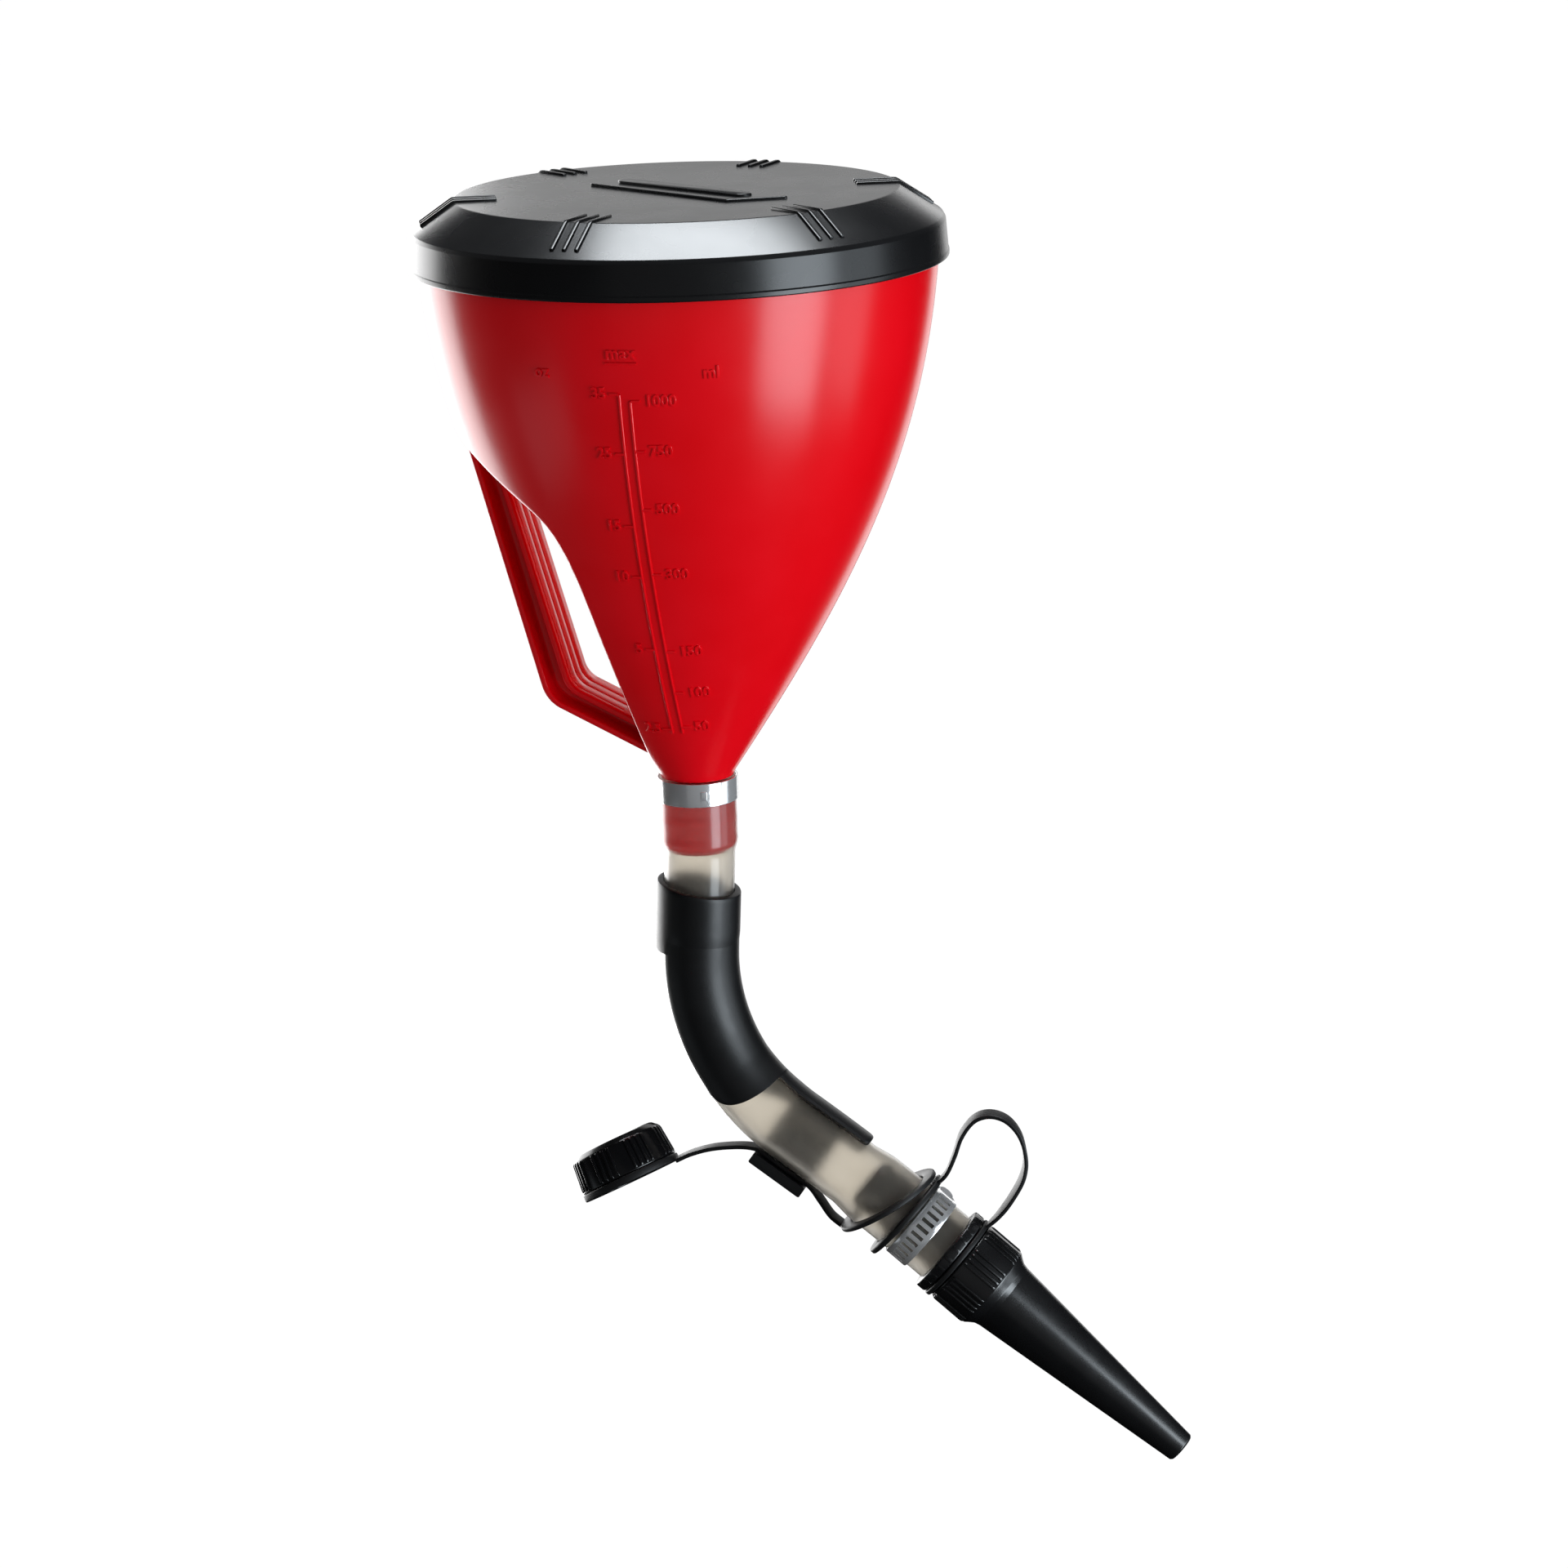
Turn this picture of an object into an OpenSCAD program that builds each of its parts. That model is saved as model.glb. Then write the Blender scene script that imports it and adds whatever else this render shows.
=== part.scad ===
// Filling funnel with a push-on lid, a moulded handle, a clear bent hose and a screwed nozzle.
// Origin: bowl axis at the foot of the cone. +Z up, handle toward -X, scale toward -Y.
// Units: millimetres.

/* [Bowl] */
// outer radius of the bowl rim
rim_r = 80.2; // [60:0.1:100]
// outer radius at the foot of the cone
foot_r = 11.6; // [9:0.1:16]
// height of the rim above the foot
bowl_h = 168; // [120:1:200]
// half angle of the cone at the foot, degrees
foot_angle = 34; // [25:0.5:45]
// angle of the wall at the rim, degrees
rim_angle = 4; // [0:0.5:10]
// reach of the foot handle of the profile curve
foot_pull = 70; // [40:1:90]
// reach of the rim handle of the profile curve
rim_pull = 65; // [40:1:90]
// wall thickness of the bowl
wall = 2.0; // [1.5:0.1:3]
// outer radius of the spigot core
spigot_r = 9.0; // [7:0.1:10]
// outer radius of the two spigot ridges
ridge_r = 9.65; // [8:0.05:10.5]
// length of the spigot below the foot
spigot_len = 24.9; // [15:0.1:35]
// radius of the bore through the neck
neck_bore_r = 7.6; // [5:0.1:8.5]

/* [Scale] */
// height that the raised scale lines stand off the wall
line_rise = 0.5; // [0.3:0.1:1]
// width of the raised lines
line_w = 1; // [0.6:0.1:1.5]
// length of one graduation
line_len = 2.7; // [2:0.1:6]
// distance of the graduations from the middle of the scale
line_u = 1.6; // [1:0.1:4]
// direction of the middle of the scale, degrees from +X
scale_az = -87.6; // [-110:0.1:-70]

/* [Handle] */
// width of the handle across Y
handle_w = 20; // [14:0.5:28]
// thickness of the handle's flanges
flange_t = 2.2; // [1.5:0.1:3]
// thickness of the handle's middle web
web_t = 6; // [3:0.5:10]

/* [Lid] */
// outer radius of the lid at the brim's lower edge
lid_r = 83.0; // [70:0.1:100]
// wall thickness of the lid
lid_wall = 1.8; // [1.2:0.1:3]
// radius of the flat top
lid_top_r = 69.3; // [50:0.1:80]
// height of the flat top above the foot
lid_top_z = 183.8; // [170:0.1:200]
// width of one raised rib
rib_w = 1.3; // [0.8:0.1:2]
// pitch of the ribs in a group
rib_pitch = 4.0; // [3:0.1:6]

/* [Hose] */
// outer radius of the hose
hose_r = 11.2; // [9:0.05:13]
// radius of the hose bore
hose_bore_r = 9.0; // [7:0.05:10.5]
// outer radius where the hose is stretched over a fitting
swell_r = 12.2; // [10:0.05:14]
// bore radius where the hose is stretched over a fitting
swell_bore_r = 9.95; // [8:0.05:11]
// centreline radius of the bend
bend_r = 68.5; // [50:0.5:90]
// heading of the hose where the bend ends, degrees below level
bend_out = 34.6; // [20:0.1:60]
// heading of the nozzle, degrees below level
spout_dip = 40; // [20:0.5:60]
// centreline radius of the gentle run after the bend
run_r = 659; // [300:1:900]

/* [Guide] */
// inner radius of the bend guide
guide_in_r = 11.4; // [10:0.05:13.5]
// outer radius of the bend guide round the bend
guide_out_r = 12.8; // [11:0.05:14.5]
// outer radius of the guide's collar
collar_out_r = 13.4; // [12:0.05:15]
// half angle of the guide's C-section
guide_half = 126; // [100:1:150]

/* [Clamp] */
// place of the worm clamp's middle along the hose, from the flange
clamp_z = -10.4; // [-10.6:0.1:-9.6]
// width of the clamp's band
band_w = 8; // [6:0.5:8]
// distance of the worm screw from the hose's axis
screw_y = 17; // [16.8:0.1:18]

/* [Nozzle] */
// outer radius of the nozzle's nut
nut_r = 14.5; // [12:0.1:18]
// outer radius of the spout at its base
spout_base_r = 12.0; // [9:0.1:14]
// outer radius of the spout at its tip
spout_tip_r = 5.15; // [4:0.05:8]
// distance from the flange to the spout's tip
spout_len = 99; // [60:1:130]
// radius of the outlet bore
outlet_r = 3.85; // [2.5:0.05:6]
// length of the outlet bore
outlet_len = 12; // [6:0.5:20]

/* [Cap] */
// outer radius of the cap at its open end
cap_base_r = 16.6; // [14:0.1:19]
// outer radius of the cap at its closed end
cap_top_r = 15.5; // [13:0.1:18]
// height of the cap
cap_h = 15; // [10:0.5:20]
// radius of the bores that screw on the connector
thread_bore_r = 11.5; // [9:0.05:13]

/* [Tethers] */
// thickness of the straps
strap_t = 1.3; // [1:0.1:2]
// width of the straps
strap_w = 5; // [3:0.1:8]

/* [Hidden] */
$fn = 96;
eps = 0.01;

RED = [0.80, 0.02, 0.03];
BLACK = [0.03, 0.03, 0.035];
STEEL = [0.72, 0.72, 0.74];
CLEAR = [0.86, 0.80, 0.68, 0.5];

// bowl profile: one cubic curve from the foot to the rim, points are [radius, height]
A0 = [foot_r, 0];
A3 = [rim_r, bowl_h];
A1 = A0 + foot_pull * [sin(foot_angle), cos(foot_angle)];
A2 = A3 - rim_pull * [sin(rim_angle), cos(rim_angle)];
function bez(t) = pow(1 - t, 3) * A0 + 3 * t * pow(1 - t, 2) * A1 + 3 * t * t * (1 - t) * A2 + pow(t, 3) * A3;
function bez_d(t) = 3 * pow(1 - t, 2) * (A1 - A0) + 6 * t * (1 - t) * (A2 - A1) + 3 * t * t * (A3 - A2);
function unit(v) = v / norm(v);
function inward(t) = let (d = unit(bez_d(t))) [-d[1], d[0]];
PROFILE_N = 14;
OUTER = [for (i = [0:PROFILE_N]) bez(i / PROFILE_N)];
INNER = [for (i = [0:PROFILE_N]) bez(i / PROFILE_N) + wall * inward(i / PROFILE_N)];
function outer_r(z) = lookup(z, [for (p = OUTER) [p[1], p[0]]]);

// hand recess in the bowl: [height, distance of its flat floor from the axis]
RECESS = [[0, 12.4], [12, 13.2], [26, 14.6], [41, 16.6], [58, 19.2], [70, 21.3], [80, 24], [87, 27.1],
          [92, 30.8], [96, 36], [101, 43.5], [107.5, 54.2], [118, 74]];

// heights of the graduations: ounces on the left, millilitres on the right
TICKS_L = [134.7, 116.0, 92.6, 75.5, 50.0, 20.3];
TICKS_R = [132.5, 116.8, 98.1, 76.4, 49.3, 34.1, 21.3];

// centreline of the hose: a plumb length, a leaning length, the bend and a gentle run
LEAN_Z = -26;
BEND_IN = [-1.8, -57.4];
LEAN = atan(-BEND_IN[0] / (LEAN_Z - BEND_IN[1]));
LEAN_L = norm([BEND_IN[0], BEND_IN[1] - LEAN_Z]);
BEND_TURN = 90 + LEAN - bend_out;
BEND_C = BEND_IN + bend_r * [cos(LEAN), -sin(LEAN)];
BEND_OUT = BEND_C - bend_r * [sin(bend_out), cos(bend_out)];
RUN_C = BEND_OUT - run_r * [sin(bend_out), cos(bend_out)];
RUN_TURN = spout_dip - bend_out;
FLANGE = RUN_C + run_r * [sin(spout_dip), cos(spout_dip)];

function fillet(p0, p1, p2, r, n) =
  let (u = unit(p0 - p1))
  let (v = unit(p2 - p1))
  let (h = acos(u * v) / 2)
  let (c = p1 + unit(u + v) * r / sin(h))
  let (s = p1 + u * r / tan(h) - c)
  let (e = p1 + v * r / tan(h) - c)
  let (a = atan2(s[1], s[0]))
  let (b = atan2(e[1], e[0]))
  let (d = (b - a > 180) ? b - a - 360 : ((b - a < -180) ? b - a + 360 : b - a))
  [for (i = [0:n]) c + r * [cos(a + d * i / n), sin(a + d * i / n)]];

// a smooth curve through points, for the straps
function cat(p, i, t) =
  let (a = p[max(i - 1, 0)])
  let (b = p[i])
  let (c = p[i + 1])
  let (d = p[min(i + 2, len(p) - 1)])
  0.5 * (2 * b + (c - a) * t + (2 * a - 5 * b + 4 * c - d) * t * t + (3 * b - a - 3 * c + d) * t * t * t);
function smooth(p, n) = concat([for (i = [0:len(p) - 2]) for (k = [0:n - 1]) cat(p, i, k / n)], [p[len(p) - 1]]);
function side(p, h) =
  [for (i = [0:len(p) - 1])
    let (d = unit(p[min(i + 1, len(p) - 1)] - p[max(i - 1, 0)]))
    p[i] + h * [-d[1], d[0]]];
function flip(p) = [for (i = [len(p) - 1:-1:0]) p[i]];
function ribbon(p, h) = concat(side(p, h), flip(side(p, -h)));

// flat stroke with round ends
module stroke2d(a, b, r) {
  hull() {
    translate(a) circle(r = r);
    translate(b) circle(r = r);
  }
}

// frames: local +Z runs down the hose, local -X is the upper side
module plate_xz(w) {
  rotate([90, 0, 0]) linear_extrude(height = w, center = true) children();
}
module at_flange() {
  translate([FLANGE[0], 0, FLANGE[1]]) rotate([0, 90 + spout_dip, 0]) children();
}
module at_lean() {
  translate([0, 0, LEAN_Z]) rotate([0, 180 + LEAN, 0]) children();
}
module bend_sweep(start, turn) {
  translate([BEND_C[0], 0, BEND_C[1]]) rotate([90, 0, 0]) rotate([0, 0, 180 - LEAN + start])
    rotate_extrude(angle = turn) translate([bend_r, 0]) children();
}
module run_sweep(first, last) {
  translate([RUN_C[0], 0, RUN_C[1]]) rotate([90, 0, 0]) rotate([0, 0, 90 - bend_out - last])
    rotate_extrude(angle = last - first) translate([run_r, 0]) children();
}
module ring2d(ri, ro) {
  difference() {
    circle(r = ro);
    circle(r = ri);
  }
}
module sector2d(ri, ro, from, to) {
  n = ceil((to - from) / 40);
  intersection() {
    ring2d(ri, ro);
    polygon(concat([[0, 0]], [for (i = [0:n]) 30 * [cos(from + (to - from) * i / n), sin(from + (to - from) * i / n)]]));
  }
}

// bowl and handle
module recess_cut(inset) {
  plate_xz(200) polygon(concat(side([for (p = RECESS) [-p[1], p[0]]], -inset), [[-120, 126], [-120, 0]]));
}
module bowl_outer() {
  difference() {
    rotate_extrude() polygon(concat([[0, 0]], OUTER, [[0, bowl_h]]));
    recess_cut(0);
  }
}
module bowl_inner() {
  difference() {
    rotate_extrude() polygon(concat([[0, -spigot_len - 1], [neck_bore_r, -spigot_len - 1], [neck_bore_r, -2]],
                                    INNER, [[rim_r - wall, bowl_h + 5], [0, bowl_h + 5]]));
    recess_cut(wall);
  }
}
// a graduation that starts at distance u from the middle of the scale, measured round the wall
module scale_line(z, u) {
  r = outer_r(z);
  rotate([0, 0, scale_az + u / r * 180 / PI]) rotate_extrude(angle = line_len / r * 180 / PI)
    polygon([[r - 0.6, z - line_w / 2], [r + line_rise, z - line_w / 2],
             [r + line_rise, z + line_w / 2], [r - 0.6, z + line_w / 2]]);
}
module bowl() {
  color(RED) {
    difference() {
      union() {
        bowl_outer();
        // rolled rim bead
        rotate_extrude() polygon([[0, bowl_h - 1], [rim_r + 0.5, bowl_h - 1], [rim_r + 0.5, bowl_h + 2],
                                  [rim_r, bowl_h + 3], [0, bowl_h + 3]]);
        // spigot with two ridges
        rotate_extrude() polygon([[0, -spigot_len], [spigot_r - 0.5, -spigot_len], [spigot_r, -23],
                                  [ridge_r, -22], [spigot_r, -20], [spigot_r, -15.4], [ridge_r, -14.4],
                                  [spigot_r, -12.4], [spigot_r, -0.6], [foot_r, -0.6], [foot_r, 0],
                                  [foot_r, 1], [0, 1]]);
      }
      bowl_inner();
    }
    // raised scale
    for (z = TICKS_L) scale_line(z, -line_u - line_len);
    for (z = TICKS_R) scale_line(z, line_u);
  }
}
module handle() {
  top_o = [-71.3, 117.8];
  mid_o = [-45.9, 23.9];
  end_o = [-11, 7.0];
  top_i = [-62.1, 117.2];
  mid_i = [-37.2, 29.0];
  end_i = [-8, 15.0];
  color(RED) difference() {
    plate_xz(handle_w) polygon(concat([top_o], fillet(top_o, mid_o, end_o, 10, 6), [end_o, end_i],
                                      fillet(end_i, mid_i, top_i, 5, 4), [top_i]));
    for (s = [-1, 1]) {
      translate([0, s * (web_t + handle_w) / 2, 0]) plate_xz(handle_w) polygon(concat(
        [top_o + [flange_t, -8]],
        fillet(top_o + [flange_t, 0], mid_o + [flange_t, flange_t], end_o + [0, flange_t], 8, 5),
        [end_o + [0, flange_t], end_i + [0, -flange_t]],
        fillet(end_i + [0, -flange_t], mid_i + [-flange_t, -flange_t], top_i + [-flange_t, 0], 6, 4),
        [top_i + [-flange_t, -8]]));
    }
    bowl_outer();
  }
}

// lid
module lid() {
  lip = lid_r - lid_wall;
  color(BLACK) {
    rotate_extrude() polygon([[0, lid_top_z], [lid_top_r - 2, lid_top_z], [lid_top_r, lid_top_z - 0.8],
                              [81.6, 174.4], [82.0, 173.4], [lid_r, 162.6], [lip, 162.6],
                              [lip, 172.8], [lid_top_r - 0.6, lid_top_z - lid_wall - 0.8],
                              [0, lid_top_z - lid_wall]]);
    for (g = [0:5]) {
      for (k = [-1:1]) {
        rotate([0, 0, g * 60 - 99.5]) translate([0, k * rib_pitch, 0]) plate_xz(rib_w)
          polygon([[lid_top_r - 14, lid_top_z - 0.6], [lid_top_r - 14, lid_top_z + 0.7],
                   [lid_top_r - 1.6, lid_top_z + 0.7], [79.8, 176.5], [79.8, 174.6],
                   [lid_top_r - 2, lid_top_z - 0.6]]);
      }
    }
    // plain raised bar with a bent line under it
    translate([0, 0, lid_top_z - 0.4]) linear_extrude(height = 1.2) {
      stroke2d([-20, 17], [23, -9.5], 3.2);
      stroke2d([-29, 9.5], [22.3, -23.5], 0.9);
      stroke2d([22.3, -23.5], [38, -15.8], 0.9);
    }
  }
}

// hose and its top clamp
module neck_clamp() {
  color(STEEL) {
    translate([0, 0, -8.4]) linear_extrude(height = 7.5) ring2d(swell_r, swell_r + 0.6);
    // crimped ear at the back
    rotate([0, 0, 120]) translate([swell_r + 0.3, -2.6, -8.4]) cube([2.6, 0.9, 7.5]);
    rotate([0, 0, 120]) translate([swell_r + 0.3, 1.7, -8.4]) cube([2.6, 0.9, 7.5]);
    rotate([0, 0, 120]) translate([swell_r + 2.2, -2.6, -8.4]) cube([0.9, 5.2, 7.5]);
  }
}
module hose() {
  color(CLEAR) {
    rotate_extrude() polygon([[swell_bore_r, -0.9], [swell_r, -0.9], [swell_r, -23], [hose_r + 0.1, -25.4],
                              [hose_r + 0.1, LEAN_Z], [hose_bore_r - 0.1, LEAN_Z], [hose_bore_r - 0.1, -25.4],
                              [swell_bore_r, -25.0]]);
    at_lean() translate([0, 0, -0.9]) linear_extrude(height = LEAN_L + 1.2) ring2d(hose_bore_r, hose_r);
    bend_sweep(0, BEND_TURN) ring2d(hose_bore_r - 0.05, hose_r + 0.05);
    run_sweep(-0.03, RUN_TURN * 0.44 + 0.03) ring2d(hose_bore_r, hose_r);
    run_sweep(RUN_TURN * 0.44, RUN_TURN - 0.02) ring2d(swell_bore_r, swell_r);
  }
}

// bend guide: a collar, a C-section round the bend, a tongue and a hook
module bend_guide() {
  color(BLACK) {
    difference() {
      at_lean() translate([0, 0, 6]) linear_extrude(height = LEAN_L - 6) ring2d(guide_in_r, collar_out_r);
      translate([0, 0, -36.8]) rotate([0, 8, 0]) translate([-30, -30, 0]) cube([60, 60, 30]);
      translate([-40, -9.5, -80]) cube([40, 19, 21.5]);
    }
    bend_sweep(-0.4, 45.4) sector2d(guide_in_r + 0.06, guide_out_r, 180 - guide_half, 180 + guide_half);
    bend_sweep(44.6, BEND_TURN - 44.6) sector2d(guide_in_r, 13.8, 167, 255);
    run_sweep(-0.04, RUN_TURN * 0.36) sector2d(guide_in_r + 0.05, 13.7, -74, 12);
    translate([31.3, 0, -120.2]) rotate([0, 125, 0]) translate([0, 0, -10]) linear_extrude(height = 20)
      difference() {
        translate([1.9, 0]) circle(r = 15.7);
        translate([1.2, 0]) circle(r = 12.6);
        translate([-30, -30]) square([60, 26]);
        translate([-30, -6]) square([30, 16]);
      }
  }
}

// connector in the hose end
module connector() {
  color(BLACK) at_flange() {
    rotate_extrude() polygon([[6.5, -33], [7.6, -33], [8.9, -29.5], [8.2, -29.5], [9.0, -23], [8.2, -23],
                              [9.0, -16.5], [8.2, -16.5], [8.8, -3], [8.8, 0], [15, 0], [15, 3.6],
                              [11.2, 3.6], [11.2, 19.4], [10.6, 20], [6.5, 20]]);
  }
}

// worm-drive clamp: slotted band, housing and screw
module clamp_band() {
  color(STEEL) at_flange() difference() {
    translate([0, 0, clamp_z - band_w / 2]) linear_extrude(height = band_w) ring2d(12.35, 13.05);
    for (k = [0:19]) {
      rotate([0, 0, 140 + k * 12]) translate([11, -0.6, clamp_z - 2.25]) cube([4, 1.2, 4.5]);
    }
  }
}
module screw_axis() {
  translate([0, screw_y, clamp_z]) rotate([0, 90, 0]) children();
}
module clamp_housing() {
  color(STEEL) at_flange() difference() {
    translate([-6, 13.1, clamp_z - 4.6]) cube([12, 8.4, 9.2]);
    screw_axis() cylinder(r = 3.5, h = 20, center = true);
    translate([-4.6, 12, clamp_z - 3]) cube([9.2, 8, 6]);
  }
}
module clamp_screw() {
  color(STEEL) at_flange() screw_axis() {
    translate([0, 0, -7.5]) cylinder(r = 3.2, h = 15);
    translate([0, 0, 7.4]) difference() {
      cylinder(r = 4.2, h = 3.6, $fn = 6);
      translate([-5, -0.5, 2.2]) cube([10, 1, 2]);
    }
  }
}

// tether that holds the cap
module cap_tether_ring() {
  color(BLACK) translate([58.5, 0, -140.3]) rotate([0, 149.2, 0])
    translate([0, 0, -0.8]) linear_extrude(height = 1.6) ring2d(13.4, 17.6);
}
CAP_STRAP = [[-11.2, -130.4], [-6, -127.8], [1, -125.6], [9, -124.5], [14.5, -124.6], [18.0, -126.0],
             [25.4, -131.2], [32.6, -136.3], [36.2, -141.2], [39.6, -146.2], [43.4, -149.3]];
module cap_tether_strap() {
  color(BLACK) plate_xz(strap_w) polygon(ribbon(smooth(CAP_STRAP, 4), strap_t / 2));
}

// cap and its collar
module at_cap() {
  translate([-26.6, 0, -138.9]) rotate([-12, -28.4, 0]) children();
}
module cap_tether_collar() {
  color(BLACK) at_cap() linear_extrude(height = 2.2) ring2d(14.8, 17.2);
}
module cap() {
  color(BLACK) at_cap() {
    rotate_extrude() polygon([[thread_bore_r, 0], [14.5, 0], [14.5, 2.5], [cap_base_r, 2.5],
                              [cap_top_r, cap_h - 2], [cap_top_r - 2, cap_h], [0, cap_h],
                              [0, cap_h - 1.8], [thread_bore_r, cap_h - 1.8]]);
    for (g = [0:5]) {
      for (k = [-1.5:1]) {
        rotate([0, 0, g * 60 + k * 7]) translate([15.2, -0.5, 2.8]) rotate([0, -4, 0]) cube([1.5, 1, cap_h - 5.5]);
      }
    }
  }
}
module cap_seal() {
  color(BLACK) at_cap() translate([0, 0, cap_h - 3.0]) cylinder(r = 11.3, h = 1.2);
}

// tether that holds the nozzle
module nozzle_tether_ring() {
  color(BLACK) translate([64.4, 0, -144.7]) rotate([0, 132.5, 0])
    translate([0, 0, -1]) linear_extrude(height = 2) ring2d(12.6, 16.5);
}
NOZZLE_STRAP = [[75.2, -132.9], [78.0, -129.6], [80.6, -123.5], [83.0, -116.6], [87.3, -111.0], [92.6, -109.2],
                [98.0, -110.9], [102.0, -116.0], [103.6, -123.5], [102.4, -130.2], [98.6, -137.4],
                [94.6, -143.0], [91.2, -146.6]];
module nozzle_tether_strap() {
  color(BLACK) plate_xz(strap_w) polygon(ribbon(smooth(NOZZLE_STRAP, 4), strap_t / 2));
}
module nozzle_tether_collar() {
  color(BLACK) at_flange() translate([0, 0, 3.95]) linear_extrude(height = 1.7) ring2d(13.1, 15.2);
}

// nozzle: ribbed nut and spout in one piece
module nozzle() {
  color(BLACK) at_flange() {
    rotate_extrude() polygon([[thread_bore_r, 3.9], [12.8, 3.9], [12.8, 6], [nut_r, 6], [nut_r, 19.6],
                              [nut_r - 1, 20.6], [spout_base_r + 0.4, 22.4], [spout_base_r, 23.6],
                              [spout_tip_r, spout_len - 0.6], [spout_tip_r - 0.6, spout_len],
                              [outlet_r, spout_len], [outlet_r, spout_len - outlet_len],
                              [spout_base_r - 2, 26], [thread_bore_r, 23.5]]);
    for (g = [0:5]) {
      for (k = [-1.5:1.5]) {
        rotate([0, 0, g * 60 + 10 + k * 7]) translate([nut_r - 0.5, -0.5, 6.6]) cube([1.0, 1, 12.6]);
      }
    }
  }
}
module nozzle_seal() {
  color(BLACK) at_flange() translate([0, 0, 20.6]) linear_extrude(height = 1.4) ring2d(7.5, 11.2);
}

lid();
bowl();
handle();
neck_clamp();
hose();
bend_guide();
connector();
clamp_band();
clamp_housing();
clamp_screw();
cap_tether_ring();
cap_tether_strap();
cap_tether_collar();
cap();
cap_seal();
nozzle_tether_ring();
nozzle_tether_strap();
nozzle_tether_collar();
nozzle();
nozzle_seal();
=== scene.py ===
"""Filling funnel: the looks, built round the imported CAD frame.

Shapes are worked out in millimetres from the CAD part's dimensions, and piece() turns them into metres.
The origin is the foot of the bowl on its axis, +Z is up, the handle points to -X and the spout bends to +X.
"""
import math

import bmesh
import bpy
import numpy as np
from mathutils import Matrix, Vector


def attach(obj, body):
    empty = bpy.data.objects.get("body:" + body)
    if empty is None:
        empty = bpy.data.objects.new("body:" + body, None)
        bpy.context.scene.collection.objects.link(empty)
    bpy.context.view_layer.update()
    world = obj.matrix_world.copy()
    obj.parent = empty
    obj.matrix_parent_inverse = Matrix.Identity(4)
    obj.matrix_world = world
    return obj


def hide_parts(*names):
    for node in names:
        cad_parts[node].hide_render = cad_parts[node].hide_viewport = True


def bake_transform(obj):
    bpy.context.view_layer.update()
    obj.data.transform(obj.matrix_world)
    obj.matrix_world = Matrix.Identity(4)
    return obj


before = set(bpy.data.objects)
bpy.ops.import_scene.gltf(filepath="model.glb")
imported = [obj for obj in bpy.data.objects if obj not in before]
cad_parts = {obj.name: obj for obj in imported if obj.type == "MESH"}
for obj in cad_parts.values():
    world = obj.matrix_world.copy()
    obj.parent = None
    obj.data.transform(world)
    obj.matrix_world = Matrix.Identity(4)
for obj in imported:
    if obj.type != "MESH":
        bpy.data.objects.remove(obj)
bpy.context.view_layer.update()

MM = 0.001
UP = np.array([0.0, 0.0, 1.0])

# ---- dimensions, in millimetres and degrees
# bowl
RIM_R, FOOT_R, BOWL_H = 80.2, 11.6, 168.0
FOOT_ANGLE, RIM_ANGLE = 34.0, 4.0
FOOT_PULL, RIM_PULL = 70.0, 65.0
WALL = 2.0
SPIGOT_R, RIDGE_R, SPIGOT_LEN, NECK_BORE_R = 9.35, 9.65, 24.9, 7.6
# the spigot is a little fuller here than in the CAD, so that it fills the clear hose
# hand recess: height, and distance of its flat floor from the axis
RECESS = [(0, 12.4), (12, 13.2), (26, 14.6), (41, 16.6), (58, 19.2), (70, 21.3), (80, 24), (87, 27.1),
          (92, 30.8), (96, 36), (101, 43.5), (107.5, 54.2), (118, 74), (130, 98), (180, 200)]
# scale: heights of the graduations, with the number that each one carries
SCALE_AZ = -87.6
RULE_U, LINE_LEN, RULE_FOOT = 1.6, 2.7, 19.0
OUNCES = [(134.7, "35"), (116.0, "25"), (92.6, "15"), (75.5, "10"), (50.0, "5"), (20.3, "2.5")]
MILLILITRES = [(132.5, "1000"), (116.8, "750"), (98.1, "500"), (76.4, "300"), (49.3, "150"), (34.1, "100"),
               (21.3, "50")]
# lid
LID_R, LID_TOP_R, LID_TOP_Z, LID_WALL = 83.0, 69.3, 183.8, 1.8
# hose centreline
LEAN_Z = -26.0
BEND_IN = (-1.8, -57.4)
BEND_R, RUN_R = 68.5, 659.0
BEND_OUT_DIP, SPOUT_DIP = 34.6, 40.0
HOSE_R, HOSE_BORE_R, SWELL_R, SWELL_BORE_R = 11.2, 9.0, 12.2, 9.95
# worm clamp: place along the hose from the flange, band width, screw's distance from the hose's axis
CLAMP_Z, BAND_W, SCREW_Y = -10.4, 8.0, 17.0
FIRST_SLOT, SLOT_PITCH, SLOT_COUNT, SLOT_HALF_W = 140, 12, 20, 0.6

LEAN = math.degrees(math.atan(-BEND_IN[0] / (LEAN_Z - BEND_IN[1])))


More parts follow.
